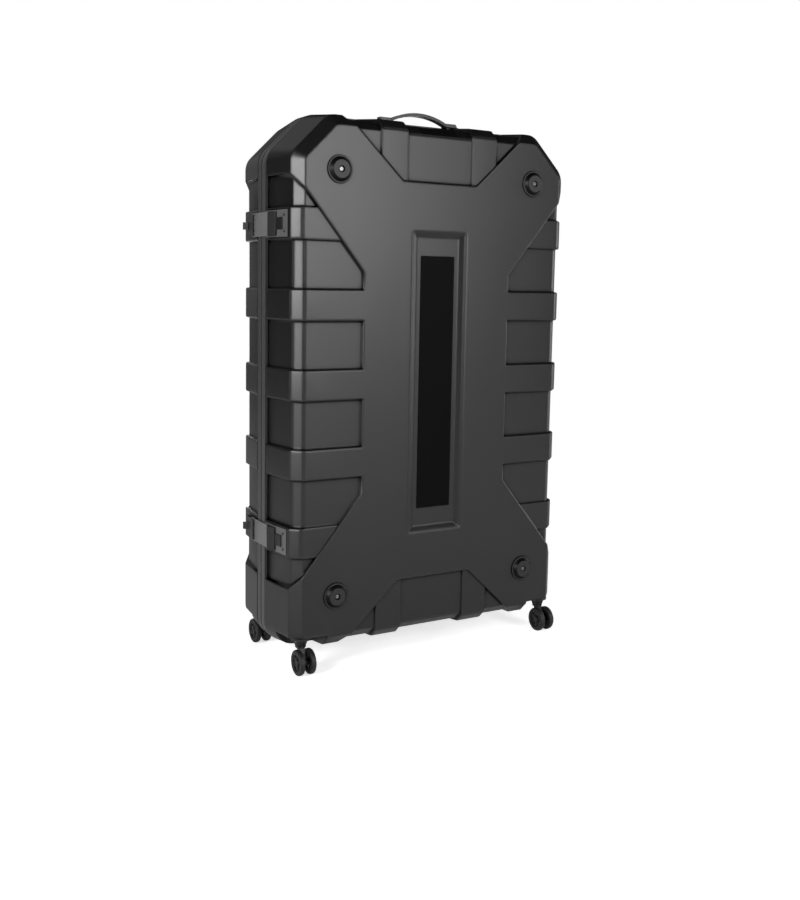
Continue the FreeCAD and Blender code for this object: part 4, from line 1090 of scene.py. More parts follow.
@dataclass
class Hubs:
    """The two spoked hubs of a caster, with a thin web behind the spokes of each.

    Attributes:
        corner: Which caster.
        rounding: Width of the rounded edges in metres.
        width: Width of one hub.
        web: Thickness of the web.
        rim: Distance from the hub's outside to the web's edge.
        bore: Radius of the web's hole round the axle.
    """

    corner: Corner
    rounding: float = 0.4 * MM
    width: float = 12.0 * MM
    web: float = 2.0 * MM
    rim: float = 1.5 * MM
    bore: float = 4.6 * MM

    DISC_SIDES = 48

    def build(self) -> None:
        """Copy the hubs, round their edges and add a web to each."""
        node = f"{self.corner.value}_caster_hubs"
        name = f"{node}_webbed"
        low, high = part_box(node)
        middle = (low + high) / 2
        away = (high.x - low.x - self.width) / 2
        piece = Bench.copy_of(node, name)
        Bench.round_edges(piece, self.rounding)
        pieces = [piece]
        for shift in (-away, away):
            spot = middle + Vector((shift, 0.0, 0.0))
            web = self.disc(spot, (high.z - low.z) / 2 - self.rim, self.web)
            pieces.append(Bench.cut(web, self.disc(spot, self.bore, self.width)))
        piece = Bench.join(pieces, name)
        Bench.smooth(piece)
        Bench.finish(piece, CASTER, body_of(node), node)

    @classmethod
    def disc(cls, spot: Vector, radius: float, thickness: float) -> bpy.types.Object:
        """Model a disc across the wheels' axis.

        Args:
            spot: Its middle.
            radius: Its radius.
            thickness: Its thickness.

        Returns:
            The disc, at the origin.
        """
        Bench.clear()
        bpy.ops.mesh.primitive_cylinder_add(
            vertices=cls.DISC_SIDES, radius=radius, depth=thickness, location=spot, rotation=(0.0, math.pi / 2, 0.0),
        )
        bpy.ops.object.transform_apply(location=True, rotation=True, scale=True)
        return bpy.context.object


@dataclass
class Screws:
    """The screws of one CAD node, with a hexagonal socket in each head.

    Attributes:
        node: The CAD node.
        way: Direction that the heads look in.
        finish: Their finish.
        socket_share: Socket's radius as a share of the head's.
        depth_share: Socket's depth as a share of the head's radius.
        rounding: Width of the head's rounded edge in metres.
    """

    node: str
    way: Triple
    finish: Finish
    socket_share: float = 0.56
    depth_share: float = 0.4
    rounding: float = 0.5 * MM

    STEPS = 2
    LEAST_ANGLE = 40.0

    def build(self) -> None:
        """Copy the screws, sink a socket in each head and round the edges."""
        piece = Bench.copy_of(self.node, f"{self.node}_socketed")
        way = Vector(self.way)
        heads = Bench.pick_faces(piece, way)
        radius = math.sqrt(heads[0].area / math.pi)
        with Bench.editing(piece):
            bpy.ops.mesh.inset(thickness=radius * (1.0 - self.socket_share), use_individual=True)
        self.make_hexagons(piece, radius * self.socket_share, way)
        with Bench.editing(piece):
            sink = way * (-radius * self.depth_share)
            bpy.ops.mesh.extrude_region_move(TRANSFORM_OT_translate={"value": sink})
        Bench.round_edges(piece, self.rounding, self.STEPS, self.LEAST_ANGLE)
        Bench.smooth(piece)
        Bench.finish(piece, self.finish, body_of(self.node), self.node)

    @staticmethod
    def make_hexagons(piece: bpy.types.Object, radius: float, way: Vector) -> None:
        """Move the corners of the selected round faces onto hexagons.

        Args:
            piece: The screws.
            radius: Distance of the hexagon's corners from its middle.
            way: Direction that the faces look in.
        """
        side = way.orthogonal().normalized()
        other = way.cross(side)
        sixth = math.pi / 3
        for face in piece.data.polygons:
            if not face.select:
                continue
            middle = face.center.copy()
            for index in face.vertices:
                spoke = piece.data.vertices[index].co - middle
                angle = math.atan2(spoke.dot(other), spoke.dot(side))
                reach = radius * math.cos(sixth / 2) / math.cos(angle % sixth - sixth / 2)
                piece.data.vertices[index].co = middle + (side * math.cos(angle) + other * math.sin(angle)) * reach


@dataclass
class Lining:
    """The quilted pads of both halves, sewn in diamonds and edged with piping.

    Attributes:
        cell: Side of the cloth's squares in metres.
        diamond: Squares from seam to seam.
        start_depth: Depth of the pad before it is stuffed.
        seam_pull: How far the seams are pulled in.
        edge_pull: How far the sewn edge is pulled in.
        swell: How far the crowns may rise.
        pressure: Pressure of the stuffing in the simulation.
        frames: Frames that the simulation runs.
        piping_radius: Radius of the piping.
        half_offset: Y of the front pad's mirror plane, doubled.
    """

    cell: float = 12 * MM
    diamond: int = 10
    start_depth: float = 15 * MM
    seam_pull: float = 6.5 * MM
    edge_pull: float = 7 * MM
    swell: float = 4.8 * MM
    pressure: float = 4.0
    frames: int = 20
    piping_radius: float = 2.2 * MM
    half_offset: float = 2 * MM

    PIPING_STEPS = 2
    MERGE_SHARE = 0.25

    def build(self) -> None:
        """Stuff the rear pad, mirror it for the front and pipe both."""
        low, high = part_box("rear_pad")
        sheet = self.sheet(low, high)
        piping = self.piping(sheet)
        pad = self.stuff(sheet, low)
        for half in Half:
            cover, edge = self.copy_for(pad, half, "pad_quilted"), self.copy_for(piping, half, "pad_piping")
            Bench.finish(cover, FOAM, half.body, f"{half.value}_pad")
            Bench.finish(edge, PIPING, half.body)
        for pattern in (pad, piping):
            bpy.data.objects.remove(pattern)

    def sheet(self, low: Vector, high: Vector) -> bpy.types.Object:
        """Lay out the pad's face as a grid, with its upper corners cut off at 45 degrees.

        Args:
            low: Lowest corner of the pad.
            high: Its highest corner.

        Returns:
            The flat sheet, looking at the seam.
        """
        size = high - low
        Bench.clear()
        bpy.ops.mesh.primitive_grid_add(
            x_subdivisions=round(size.x / self.cell), y_subdivisions=round(size.z / self.cell), size=1.0,
            location=((low.x + high.x) / 2, high.y - self.start_depth, (low.z + high.z) / 2),
            rotation=(math.pi / 2, 0.0, 0.0),
        )
        piece = bpy.context.object
        piece.scale = (size.x, size.z, 1.0)
        bpy.ops.object.transform_apply(location=True, rotation=True, scale=True)
        reach = max(vertex.co.x + vertex.co.z for vertex in FRAME["nodes"]["rear_pad"].data.vertices)
        for side in SIDES:
            with Bench.editing(piece, whole=True):
                bpy.ops.mesh.bisect(
                    plane_co=(side * (reach - high.z), 0.0, high.z), plane_no=(side, 0.0, 1.0), clear_outer=True,
                )
        with Bench.editing(piece, "VERT", whole=True):
            bpy.ops.mesh.remove_doubles(threshold=self.cell * self.MERGE_SHARE)
        return piece

    def piping(self, sheet: bpy.types.Object) -> bpy.types.Object:
        """Run a round cord along the sheet's sewn edge.

        Args:
            sheet: The flat sheet.

        Returns:
            The piping as a closed tube.
        """
        piece = Bench.put("piping", sheet.data)
        with Bench.editing(piece, whole=True):
            bpy.ops.mesh.delete(type="ONLY_FACE")
            bpy.ops.mesh.select_mode(type="EDGE")
            bpy.ops.mesh.select_all(action="DESELECT")
        rim = self.rim_edges(sheet)
        for edge in piece.data.edges:
            edge.select = tuple(sorted(edge.vertices)) not in rim
        with Bench.editing(piece, "EDGE"):
            bpy.ops.mesh.delete(type="EDGE")
        Bench.pick(piece)
        bpy.ops.object.convert(target="CURVE")
        piece.data.bevel_depth = self.piping_radius
        piece.data.bevel_resolution = self.PIPING_STEPS
        bpy.ops.object.convert(target="MESH")
        piece.data.transform(Matrix.Translation((0.0, self.edge_pull - self.piping_radius, 0.0)))
        Bench.smooth(piece)
        return piece

    @staticmethod
    def rim_edges(sheet: bpy.types.Object) -> set[tuple[int, int]]:
        """Find the edges of a sheet that only one face uses.

        Args:
            sheet: The flat sheet.

        Returns:
            Each edge as the numbers of its two points, the lower one first.
        """
        uses: dict[tuple[int, int], int] = {}
        for face in sheet.data.polygons:
            for key in face.edge_keys:
                uses[key] = uses.get(key, 0) + 1
        return {key for key, count in uses.items() if count == 1}

    def stuff(self, sheet: bpy.types.Object, low: Vector) -> bpy.types.Object:
        """Close the sheet into a slab, hold its back and seams, and blow it up as cloth.

        Args:
            sheet: The flat sheet.
            low: Lowest corner of the pad.

        Returns:
            The stuffed pad.
        """
        edge_points = {index for key in self.rim_edges(sheet) for index in key}
        face_points = len(sheet.data.vertices)
        slab = sheet.modifiers.new("slab", "SOLIDIFY")
        slab.thickness = self.start_depth
        slab.offset = -1.0
        Bench.apply(sheet)
        held = sheet.vertex_groups.new(name="held")
        points = sheet.data.vertices
        for point in points:
            if point.index >= face_points:
                held.add([point.index], 1.0, "REPLACE")
            elif point.index in edge_points:
                point.co.y += self.edge_pull
                held.add([point.index], 1.0, "REPLACE")
            elif self.on_seam(point.co, low):
                point.co.y += self.seam_pull
                held.add([point.index], 1.0, "REPLACE")
        start = [point.co.copy() for point in points]
        self.simulate(sheet)
        self.limit(sheet, start)
        sheet.vertex_groups.clear()
        finer = sheet.modifiers.new("finer", "SUBSURF")
        finer.levels = finer.render_levels = 1
        Bench.apply(sheet)
        Bench.pick(sheet)
        bpy.ops.object.shade_smooth()
        return sheet

    def on_seam(self, spot: Vector, low: Vector) -> bool:
        """Tell whether a point of the face lies on a seam of the diamonds.

        Args:
            spot: The point.
            low: Lowest corner of the pad.

        Returns:
            True on a seam.
        """
        column, row = round((spot.x - low.x) / self.cell), round((spot.z - low.z) / self.cell)
        return (column + row) % self.diamond == 0 or (column - row) % self.diamond == 0

    def simulate(self, piece: bpy.types.Object) -> None:
        """Press the cover out as cloth and apply the result.

        Args:
            piece: The slab, with its held points in a group.
        """
        cloth = piece.modifiers.new("stuffing", "CLOTH")
        cloth.settings.use_pressure = True
        cloth.settings.uniform_pressure_force = self.pressure
        cloth.settings.vertex_group_mass = "held"
        cloth.settings.effector_weights.gravity = 0.0
        cloth.collision_settings.use_collision = False
        cloth.point_cache.frame_start = 1
        cloth.point_cache.frame_end = self.frames
        for frame in range(1, self.frames + 1):
            bpy.context.scene.frame_set(frame)
        Bench.apply(piece)
        bpy.context.scene.frame_set(1)

    def limit(self, piece: bpy.types.Object, start: list[Vector]) -> None:
        """Scale the movement of the cover so that its highest crown rises as far as it may.

        Args:
            piece: The stuffed slab.
            start: The points' places before.
        """
        moves = [point.co - before for point, before in zip(piece.data.vertices, start)]
        share = self.swell / max(move.length for move in moves)
        for point, before, move in zip(piece.data.vertices, start, moves):
            point.co = before + move * share
        log.info("pad cover: movement scaled by %.2f", share)

    def copy_for(self, pattern: bpy.types.Object, half: Half, name: str) -> bpy.types.Object:
        """Copy a rear piece for one half, mirrored for the front.

        Args:
            pattern: The piece made for the rear half.
            half: The half that gets the copy.
            name: The copy's name after the half's.

        Returns:
            The copy.
        """
        piece = Bench.put(f"{half.value}_{name}", pattern.data)
        if half is Half.FRONT:
            piece.data.transform(Matrix.Translation((0.0, self.half_offset, 0.0)) @ Matrix.Scale(-1.0, 4, (0, 1, 0)))
            with Bench.editing(piece, whole=True):
                bpy.ops.mesh.normals_make_consistent(inside=False)
        return piece


@dataclass
class Buckle:
    """A side-release buckle: a socket with open sides, a plug with two prongs, and slots for the webbing.

    Attributes:
        middle: Height of the strap's middle.
        half_high: Half of the buckle's height.
        webbing: Width of the webbing.
        inset: Distance of its faces from those of the CAD buckle.
        rounding: Rounding of the socket and the plug.
        cut_rounding: Rounding of the edges of what is cut out.
        beyond: How far a cutter reaches past the buckle.
        socket_end: X of the socket's mouth.
        plug_start: X of the plug's shoulder.
        slot: Distances of a webbing slot's two sides from the buckle's end.
        slot_room: Room above and below the webbing in a slot.
        window: X of both ends of the side windows.
        window_floor: Distance of the side windows from the middle.
        prong_tip: X of the prongs' tips.
        prong_root: How far the prongs reach into the plug.
        prong_inset: Distance of the prongs' faces from the socket's.
        prong_floor: Distance of the prongs from the middle.
        prong_room: Distance of the prongs from the socket's sides.
        prong_rounding: Rounding of the prongs.
        rib_ends: Distances of the thumb rib from the socket's two ends.
        rib_rise: How far the rib rises over the socket's face.
        rib_root: How far it reaches into the socket.
        rib_half: Half of its height.
        rib_rounding: Its rounding.
    """

    middle: float
    half_high: float
    webbing: float
    inset: float = 0.3 * MM
    rounding: float = 2 * MM
    cut_rounding: float = 0.6 * MM
    beyond: float = 5 * MM
    socket_end: float = 6 * MM
    plug_start: float = 8 * MM
    slot: Pair = (5 * MM, 10 * MM)
    slot_room: float = 0.5 * MM
    window: Pair = (-16 * MM, 0.0)
    window_floor: float = 13 * MM
    prong_tip: float = -14 * MM
    prong_root: float = 1 * MM
    prong_inset: float = 2 * MM
    prong_floor: float = 15 * MM
    prong_room: float = 0.6 * MM
    prong_rounding: float = 1.4 * MM
    rib_ends: Pair = (16 * MM, 4 * MM)
    rib_rise: float = 0.2 * MM
    rib_root: float = 1 * MM
    rib_half: float = 5 * MM
    rib_rounding: float = 0.5 * MM

    def build(self) -> bpy.types.Object:
        """Model the buckle.

        Returns:
            The buckle.
        """
        low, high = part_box("tie_buckles")
        front, back = low.y + self.inset, high.y - self.inset
        through = (front - self.beyond, back + self.beyond)
        whole = (-self.half_high, self.half_high)
        slot_half = self.webbing / 2 + self.slot_room
        slot_high = (-slot_half, slot_half)
        near, far = self.slot
        socket = self.block((low.x, self.socket_end), (front, back), whole, self.rounding)
        windows = [
            self.block(self.window, through, self.beside(side, self.window_floor, self.half_high + self.beyond))
            for side in SIDES
        ]
        windows.append(self.block((low.x + near, low.x + far), through, slot_high))
        Bench.cut(socket, *windows)
        Bench.round_edges(socket, self.cut_rounding)
        plug = self.block((self.plug_start, high.x), (front, back), whole, self.rounding)
        Bench.cut(plug, self.block((high.x - far, high.x - near), through, slot_high))
        Bench.round_edges(plug, self.cut_rounding)
        prongs = [
            self.block(
                (self.prong_tip, self.plug_start + self.prong_root),
                (front + self.prong_inset, back - self.prong_inset),
                self.beside(side, self.prong_floor, self.half_high - self.prong_room), self.prong_rounding,
            )
            for side in SIDES
        ]
        rib = self.block(
            (low.x + self.rib_ends[0], self.socket_end - self.rib_ends[1]),
            (front - self.rib_rise, front + self.rib_root), (-self.rib_half, self.rib_half), self.rib_rounding,
        )
        return Bench.join([socket, plug, *prongs, rib], "buckle")

    def block(self, across: Pair, deep: Pair, up: Pair, rounding: float = 0.0) -> bpy.types.Object:
        """A block given by its spans.

        Args:
            across: Its span along X.
            deep: Its span along Y.
            up: Its span in height, from the strap's middle.
            rounding: Width of its rounded edges.

        Returns:
            The block.
        """
        low, high = zip(across, deep, (self.middle + up[0], self.middle + up[1]))
        return Bench.block("buckle_part", low, high, rounding)

    @staticmethod
    def beside(side: float, near: float, far: float) -> Pair:
        """Give a span above or below the middle.

        Args:
            side: 1 for above, -1 for below.
            near: Distance of its nearer end from the middle.
            far: Distance of its further end.

        Returns:
            The span, with its lower end first.
        """
        return (near, far) if side > 0 else (-far, -near)


@dataclass
class Ties:
    """The two webbing straps over the rear pad, with side-release buckles and riveted anchors.

    Attributes:
        width: Width of the webbing.
        depth: Thickness of the webbing.
        layer_share: Share of its thickness that one layer takes up.
        selvedge: Rounding of the webbing's edges.
        cell: Length of the webbing's squares.
        tail: Length of the doubled webbing beside the buckle.
        tuck: How far a tail reaches into the buckle.
        stitch: Length, width and height of one stitch.
        stitch_pitch: Distance from stitch to stitch.
        stitch_inset: Distance of a row of stitches from the webbing's edge.
        stitch_sink: How far a stitch sinks into the webbing.
        stitch_round: Rounding of a stitch as a share of its width.
        sewn_gap: Distance from the buckle to the sewn box.
        sewn_rest: How much shorter the sewn box is than the tail.
        anchor_length: Length of an anchor plate.
        anchor_half: Half of its height.
        anchor_rounding: Rounding of its edges.
        rivet_radius: Radius of a rivet's head.
        rivet_away: Distance of a rivet from the strap's middle.
        rivet_flatness: Height of a rivet's head as a share of its radius.
        rivet_sink: How far a rivet's head reaches into the plate.
        body: The CAD body that all of it rides on.
    """

    width: float = 38 * MM
    depth: float = 1.8 * MM
    layer_share: float = 0.9
    selvedge: float = 0.6 * MM
    cell: float = 8 * MM
    tail: float = 130 * MM
    tuck: float = 8 * MM
    stitch: Triple = (4.2 * MM, 0.9 * MM, 0.8 * MM)
    stitch_pitch: float = 6 * MM
    stitch_inset: float = 4 * MM
    stitch_sink: float = 0.3 * MM
    stitch_round: float = 0.3
    sewn_gap: float = 8 * MM
    sewn_rest: float = 30 * MM
    anchor_length: float = 30 * MM
    anchor_half: float = 24 * MM
    anchor_rounding: float = 1 * MM
    rivet_radius: float = 4.5 * MM
    rivet_away: float = 13 * MM
    rivet_flatness: float = 0.42
    rivet_sink: float = 0.4 * MM
    body: str = Half.REAR.body

    CELLS_ACROSS = 6
    RIVET_SIDES = 20
    RIVET_RINGS = 10

    def build(self) -> None:
        """Build straps, stitches, buckles and anchors, each modelled once and copied."""
        low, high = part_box("tie_straps")
        pitch = high.z - low.z - self.width
        shifts = [(0.0, 0.0, 0.0), (0.0, 0.0, pitch)]
        middle = low.z + self.width / 2
        straps = Bench.copies(self.strap(low, high, middle), shifts, "tie_straps_woven")
        Bench.finish(straps, WEBBING, self.body, "tie_straps")
        stitches = Bench.copies(self.stitches(low.y, middle), shifts, "tie_stitches")
        Bench.finish(stitches, THREAD, self.body)
        clip_low, clip_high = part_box("tie_buckles")
        buckle = Buckle(middle, (clip_high.z - clip_low.z - pitch) / 2, self.width).build()
        clips = Bench.copies(buckle, shifts, "tie_buckles_clipped")
        Bench.smooth(clips)
        Bench.finish(clips, BUCKLE, self.body, "tie_buckles")
        reach = high.x - low.x - self.anchor_length
        spread = [(across, 0.0, up) for across in (0.0, reach) for up in (0.0, pitch)]
        anchors = Bench.copies(self.anchor(low.x, middle), spread, "tie_anchors_riveted")
        Bench.smooth(anchors)
        Bench.finish(anchors, BUCKLE, self.body, "tie_anchors")

    def strap(self, low: Vector, high: Vector, middle: float) -> bpy.types.Object:
        """Weave one strap: a long band, and a doubled tail on each side of the buckle.

        Args:
            low: Lowest corner of the straps.
            high: Their highest corner.
            middle: Height of the strap's middle.

        Returns:
            The strap.
        """
        bands = [(low.x, high.x, (low.y + high.y) / 2)]
        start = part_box("tie_buckles")[1].x - self.tuck
        for side in SIDES:
            ends = sorted((side * start, side * (start + self.tail)))
            bands.append((*ends, low.y - self.depth / 2))
        made = [self.band(first, last, level, middle) for first, last, level in bands]
        return Bench.join(made, "strap")

    def band(self, first: float, last: float, level: float, middle: float) -> bpy.types.Object:
        """A flat length of webbing with a rounded selvedge.

        Args:
            first: X of one end.
            last: X of the other end.
            level: Y of its middle layer.
            middle: Height of its middle.

        Returns:
            The band.
        """
        Bench.clear()
        bpy.ops.mesh.primitive_grid_add(
            x_subdivisions=round((last - first) / self.cell), y_subdivisions=self.CELLS_ACROSS, size=1.0,
            location=((first + last) / 2, level, middle), rotation=(math.pi / 2, 0.0, 0.0),
        )
        piece = bpy.context.object
        piece.scale = (last - first, self.width, 1.0)
        bpy.ops.object.transform_apply(location=True, rotation=True, scale=True)
        thicker = piece.modifiers.new("thickness", "SOLIDIFY")
        thicker.thickness = self.depth * self.layer_share
        thicker.offset = 0.0
        Bench.apply(piece)
        Bench.round_edges(piece, self.selvedge)
        Bench.smooth(piece)
        return piece

    def stitches(self, face: float, middle: float) -> bpy.types.Object:
        """Sew the tails of one strap down with a box of stitches, crossed inside.

        Args:
            face: Y of the strap's face.
            middle: Height of its middle.

        Returns:
            All stitches of the strap.
        """
        level = face - self.depth - self.stitch[2] / 2 + self.stitch_sink
        box_high = self.width / 2 - self.stitch_inset
        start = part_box("tie_buckles")[1].x + self.sewn_gap
        box_long = self.tail - self.sewn_rest
        made = []
        for side in SIDES:
            near, far = side * start, side * (start + box_long)
            rows = [
                ((near, box_high), (far, box_high)), ((near, -box_high), (far, -box_high)),
                ((near, -box_high), (near, box_high)), ((far, -box_high), (far, box_high)),
                ((near, -box_high), (far, box_high)), ((near, box_high), (far, -box_high)),
            ]
            for first, last in rows:
                made += self.row(first, last, level, middle)
        return Bench.join(made, "stitches")

    def row(self, first: Pair, last: Pair, level: float, middle: float) -> list[bpy.types.Object]:
        """One straight row of stitches.

        Args:
            first: X and height of the row's start.
            last: X and height of its end.
            level: Y of the stitches.
            middle: Height of the strap's middle.

        Returns:
            The stitches.
        """
        length, width, height = self.stitch
        run = Vector((last[0] - first[0], 0.0, last[1] - first[1]))
        count = max(2, round(run.length / self.stitch_pitch))
        half = (length / 2, height / 2, width / 2)
        pattern = Bench.block("stitch", [-part for part in half], half, width * self.stitch_round)
        turn = Matrix.Rotation(-math.atan2(run.z, run.x), 4, "Y")
        made = []
        for step in range(count):
            spot = Vector((first[0], level, middle + first[1])) + run * ((step + 0.5) / count)
            made.append(Bench.put("stitch", pattern.data))
            made[-1].data.transform(Matrix.Translation(spot) @ turn)
        bpy.data.objects.remove(pattern)
        return made

    def anchor(self, left: float, middle: float) -> bpy.types.Object:
        """Model one anchor plate with two domed rivets.

        Args:
            left: X of the plate's outer end.
            middle: Height of the strap's middle.

        Returns:
            The anchor.
        """
        low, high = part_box("tie_anchors")
        plate = Bench.block(
            "plate", (left, low.y, middle - self.anchor_half),
            (left + self.anchor_length, high.y, middle + self.anchor_half), self.anchor_rounding,
        )
        rivets = []
        for side in SIDES:
            Bench.clear()
            bpy.ops.mesh.primitive_uv_sphere_add(
                segments=self.RIVET_SIDES, ring_count=self.RIVET_RINGS, radius=self.rivet_radius,
                location=(left + self.anchor_length / 2, low.y, middle + side * self.rivet_away),
                rotation=(math.pi / 2, 0.0, 0.0),
            )
            rivet = bpy.context.object
            rivet.scale = (1.0, 1.0, self.rivet_flatness)
            bpy.ops.object.transform_apply(location=True, rotation=True, scale=True)
            with Bench.editing(rivet, whole=True):
                bpy.ops.mesh.bisect(
                    plane_co=(0.0, low.y + self.rivet_sink, 0.0), plane_no=(0.0, 1.0, 0.0), clear_outer=True,
                    use_fill=True,
                )
            rivets.append(rivet)
        return Bench.join([plate, *rivets], "anchor")


@dataclass
class Lamp:
    """A soft box.

    Attributes:
        name: The lamp's name.
        spot: Its place.
        aim: The point that it faces.
        size: Its width and height in metres.
        power: Its power in watts.
    """

    name: str
    spot: Triple
    aim: Triple
    size: Pair
    power: float

    def build(self) -> None:
        """Add the lamp to the scene."""
        data = bpy.data.lights.new(self.name, "AREA")
        data.shape = "RECTANGLE"
        data.size, data.size_y = self.size
        data.energy = self.power
        lamp = bpy.data.objects.new(self.name, data)
        way = Vector(self.aim) - Vector(self.spot)
        lamp.matrix_world = Matrix.Translation(self.spot) @ way.to_track_quat("-Z", "Y").to_matrix().to_4x4()
        bpy.context.scene.collection.objects.link(lamp)


@dataclass
class Studio:
    """Camera, lights and floor.

    Attributes:
        eye: The camera's place.
        yaw: Its turn to the right of +Y, in radians.
        pitch: Its tilt upwards, in radians.
        roll: Its turn about the line of sight, in radians.
        lens: Its focal length in millimetres.
        drop: Shift of the picture upwards, as a share of its longer side.
        sensor: Its sensor's longer side in millimetres.
        sight: How far it sees, in metres.
        floor_half: Half of the floor's side in metres.
        floor_colour: The floor's colour, linear.
        floor_lift: Light that the camera sees the floor give, on top of what falls on it.
        floor_fade: Distances from the case between which the floor fades to white.
        floor_gleam: Light of the floor in what shiny surfaces mirror.
        room_light: Light of the room on dull surfaces.
        room_gleam: Light of the room in what shiny surfaces mirror.
        panel_way: Level direction of a tall soft panel that only shiny surfaces mirror.
        panel_span: Cosines between which the panel fades in.
        panel_gleam: Light of the panel.
    """

    eye: Triple = (-1.3893, -2.3409, 0.93)
    yaw: float = math.radians(30.468)
    pitch: float = math.radians(-6.524)
    roll: float = math.radians(0.966)
    lens: float = 41.856
    drop: float = -0.0512
    sensor: float = 36.0
    sight: float = 100.0
    floor_half: float = 14.0
    floor_colour: Colour = (0.86, 0.86, 0.86)
    floor_lift: float = 0.62
    floor_fade: Pair = (0.9, 2.6)
    floor_gleam: float = 0.04
    room_light: float = 0.08
    room_gleam: float = 0.012
    panel_way: Triple = (-0.12, 0.993, 0.0)
    panel_span: Pair = (0.94, 0.99)
    panel_gleam: float = 0.36

    def build(self) -> None:
        """Set up the whole studio."""
        scene = bpy.context.scene
        scene.view_settings.view_transform = "Standard"
        self.camera(scene)
        self.world(scene)
        self.floor()
        for lamp in LAMPS:
            lamp.build()

    def camera(self, scene: bpy.types.Scene) -> None:
        """Put the camera where the photograph was taken from.

        Args:
            scene: The scene that gets the camera.
        """
        data = bpy.data.cameras.new("camera")
        data.lens = self.lens
        data.sensor_width = self.sensor
        data.sensor_fit = "AUTO"
        data.shift_y = self.drop
        data.clip_end = self.sight
        camera = bpy.data.objects.new("camera", data)
        forward = Vector((
            math.sin(self.yaw) * math.cos(self.pitch), math.cos(self.yaw) * math.cos(self.pitch), math.sin(self.pitch),
        ))
        level = Vector((math.cos(self.yaw), -math.sin(self.yaw), 0.0))
        rise = level.cross(forward)
        right = level * math.cos(self.roll) + rise * math.sin(self.roll)
        up = right.cross(forward)
        turn = Matrix((right, up, -forward)).transposed().to_4x4()
        camera.matrix_world = Matrix.Translation(self.eye) @ turn
        scene.collection.objects.link(camera)
        scene.camera = camera

    def world(self, scene: bpy.types.Scene) -> None:
        """A dim studio that the camera sees as white.

        Args:
            scene: The scene that gets the world.
        """
        board = NodeBoard(bpy.data.worlds.new("studio"), "ShaderNodeOutputWorld")
        room, gleam, white = (board.add("ShaderNodeBackground") for _ in range(3))
        for light in (room, gleam, white):
            light.inputs["Color"].default_value = (1.0, 1.0, 1.0, 1.0)
        room.inputs["Strength"].default_value = self.room_light
        board.join(self.panel(board), gleam.inputs["Strength"])
        path = board.add("ShaderNodeLightPath")
        mirror = self.mirrored(board, path)
        lit = board.cover(mirror, room.outputs["Background"], gleam.outputs["Background"])
        seen = board.cover(path.outputs["Is Camera Ray"], lit, white.outputs["Background"])
        board.join(seen, board.output.inputs["Surface"])
        scene.world = board.owner

    @staticmethod
    def mirrored(board: NodeBoard, path: bpy.types.Node) -> bpy.types.NodeSocket:
        """Whether a ray comes off a shiny surface or through a clear one.

        Args:
            board: The board of a material or a world.
            path: Its node that tells rays apart.

        Returns:
            1 for such a ray, 0 for others.
        """
        return board.maths("MAXIMUM", path.outputs["Is Glossy Ray"], path.outputs["Is Transmission Ray"])

    def panel(self, board: NodeBoard) -> bpy.types.NodeSocket:
        """The strength of what shiny surfaces mirror: a dim room with a tall soft panel behind the case.

        Args:
            board: The world's board.

        Returns:
            The strength, by direction.
        """
        place = board.add("ShaderNodeTexCoord")
        flat, level, nearness = (
            board.add("ShaderNodeVectorMath", operation=name) for name in ("MULTIPLY", "NORMALIZE", "DOT_PRODUCT")
        )
        flat.inputs[1].default_value = (1.0, 1.0, 0.0)
        nearness.inputs[1].default_value = self.panel_way
        board.join(place.outputs["Generated"], flat.inputs[0])
        board.join(flat.outputs["Vector"], level.inputs[0])
        board.join(level.outputs["Vector"], nearness.inputs[0])
        near = nearness.outputs["Value"]
        return board.span(near, self.room_gleam, self.panel_gleam, self.panel_span, "SMOOTHSTEP")

    def floor(self) -> None:
        """A wide pale floor that keeps the shadow near the case and fades to white further out."""
        Bench.clear()
        bpy.ops.mesh.primitive_plane_add(size=2 * self.floor_half, location=(0.0, 0.0, 0.0))
        floor = bpy.context.object
        floor.name = "floor"
        board = NodeBoard(bpy.data.materials.new("pale_floor"))
        matt = board.add("ShaderNodeBsdfDiffuse")
        matt.inputs["Color"].default_value = (*self.floor_colour, 1.0)
        lift = board.add("ShaderNodeEmission")
        white = board.add("ShaderNodeEmission")
        white.inputs["Strength"].default_value = 1.0
        path = board.add("ShaderNodeLightPath")
        camera = path.outputs["Is Camera Ray"]
        gleam = board.span(self.mirrored(board, path), 0.0, self.floor_gleam)
        strength = board.maths("MAXIMUM", board.span(camera, 0.0, self.floor_lift), gleam)
        board.join(strength, lift.inputs["Strength"])
        near = board.add("ShaderNodeAddShader")
        board.join(matt.outputs["BSDF"], near.inputs[0])
        board.join(lift.outputs["Emission"], near.inputs[1])
        away = board.add("ShaderNodeVectorMath", operation="LENGTH")
        board.join(board.place(), away.inputs[0])
        far = board.maths("MULTIPLY", board.span(away.outputs["Value"], 0.0, 1.0, self.floor_fade), camera)
        seen = board.cover(far, near.outputs["Shader"], white.outputs["Emission"])
        board.join(seen, board.output.inputs["Surface"])
        floor.data.materials.append(board.owner)
        floor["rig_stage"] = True


# Two tall boxes in front, with a dark gap between them, and dimmer ones for the back and the hinge side.
LAMPS = (
    Lamp("left_box", spot=(-3.67, -1.61, 1.75), aim=(-0.3, -0.1, 1.0), size=(1.2, 2.2), power=165.0),
    Lamp("front_box", spot=(1.2, -4.1, 1.75), aim=(0.0, -0.1, 0.9), size=(1.8, 2.2), power=113.0),
    Lamp("back_box", spot=(1.3, 4.2, 0.8), aim=(0.0, 0.0, 0.7), size=(2.4, 1.4), power=80.0),
    Lamp("hinge_box", spot=(4.0, -0.6, 1.2), aim=(0.0, 0.0, 0.8), size=(1.4, 2.0), power=50.0),
)
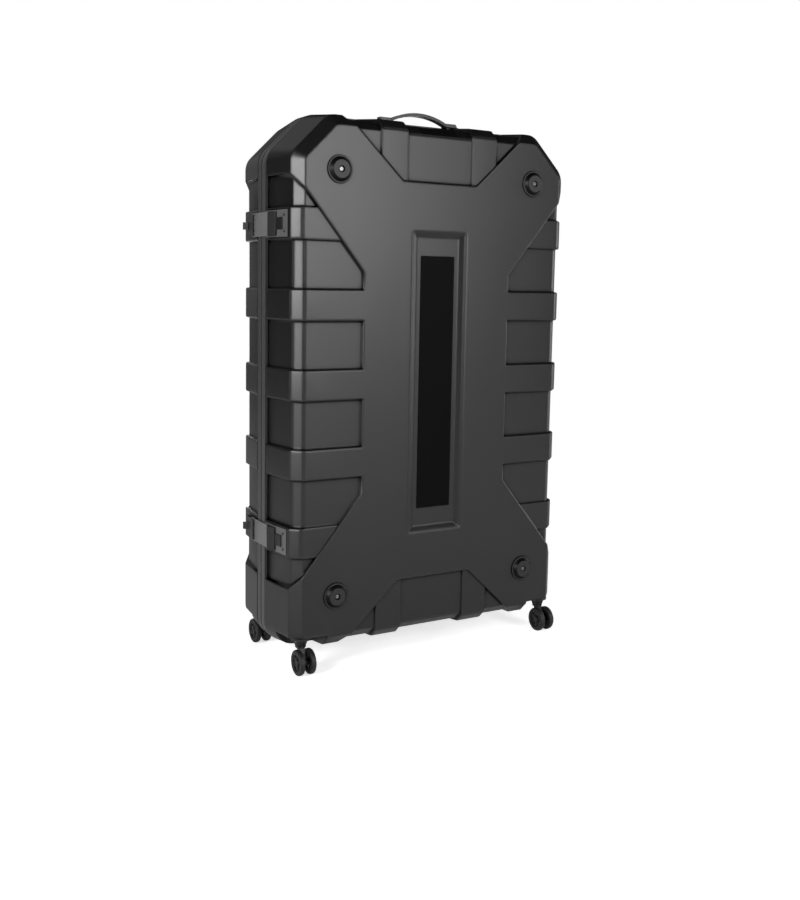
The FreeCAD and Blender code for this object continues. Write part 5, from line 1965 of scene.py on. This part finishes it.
SOFT_NODES: dict[Finish, dict[str, float]] = {
    RIM: {"front_rim": 1.2 * MM},
    # The rear rim's darker finish is painted shade.
    REAR_RIM_SHADED: {"rear_rim": 1.2 * MM},
    GRIP: {"handle_strap": 1.6 * MM},
    TRIM: {"left_handle_cap": 1.0 * MM, "right_handle_cap": 1.0 * MM},
    PLATE: {"label_plate": 0.4 * MM, "badge_plate": 0.4 * MM},
    LATCH: {
        f"{place.value}_{piece}": 0.5 * MM
        for place in LatchPlace for piece in ("latch_base", "latch_lever", "catch")
    },
    BAIL: {"upper_latch_bail": 0.4 * MM, "lower_latch_bail": 0.4 * MM},
    CATCH_PLATE: {"catch_plates": 0.3 * MM},
    HINGE: {"front_hinge_leaves": 0.4 * MM, "rear_hinge_leaves": 0.4 * MM},
    CASTER: {f"{corner.value}_caster_{piece}": 0.4 * MM for corner in Corner for piece in ("mount", "fork")},
    AXLE: {f"{corner.value}_caster_axle": 0.5 * MM for corner in Corner},
    TYRE: {f"{corner.value}_caster_tyres": 0.6 * MM for corner in Corner},
    STEEL: {"hinge_pins": 0.3 * MM},
    DARK_STEEL: {"latch_pins": 0.3 * MM},
    RUBBER: {"rim_seal": 0.5 * MM},
}
SCREWS = (
    Screws("front_foot_screws", (0.0, -1.0, 0.0), STEEL),
    Screws("rear_foot_screws", (0.0, 1.0, 0.0), STEEL),
    Screws("handle_screws", (0.0, 0.0, 1.0), DARK_STEEL),
    Screws("front_caster_screws", (0.0, 0.0, -1.0), STEEL),
    Screws("rear_caster_screws", (0.0, 0.0, -1.0), STEEL),
    Screws("latch_screws", (-1.0, 0.0, 0.0), STEEL),
    Screws("catch_screws", (-1.0, 0.0, 0.0), DARK_STEEL),
    Screws("front_hinge_screws", (1.0, 0.0, 0.0), STEEL),
    Screws("rear_hinge_screws", (1.0, 0.0, 0.0), STEEL),
)


def write_sizes() -> None:
    """Put the CAD box and the visual model's box side by side, without writing or keeping them."""
    boxes = {"cad": CAD_BOX, "visual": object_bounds()}
    {name: [list(corner) for corner in box] for name, box in boxes.items()}


def main() -> None:
    """Build every piece and the studio."""
    for half in Half:
        HalfShell(half).build()
    for finish, nodes in SOFT_NODES.items():
        for node, width in nodes.items():
            Bench.soften(node, finish, width)
    for half in Half:
        Feet(half).build()
    for corner in Corner:
        Hubs(corner).build()
    for screws in SCREWS:
        screws.build()
    Lining().build()
    Ties().build()
    Studio().build()
    write_sizes()


if __name__ == "__main__":
    main()
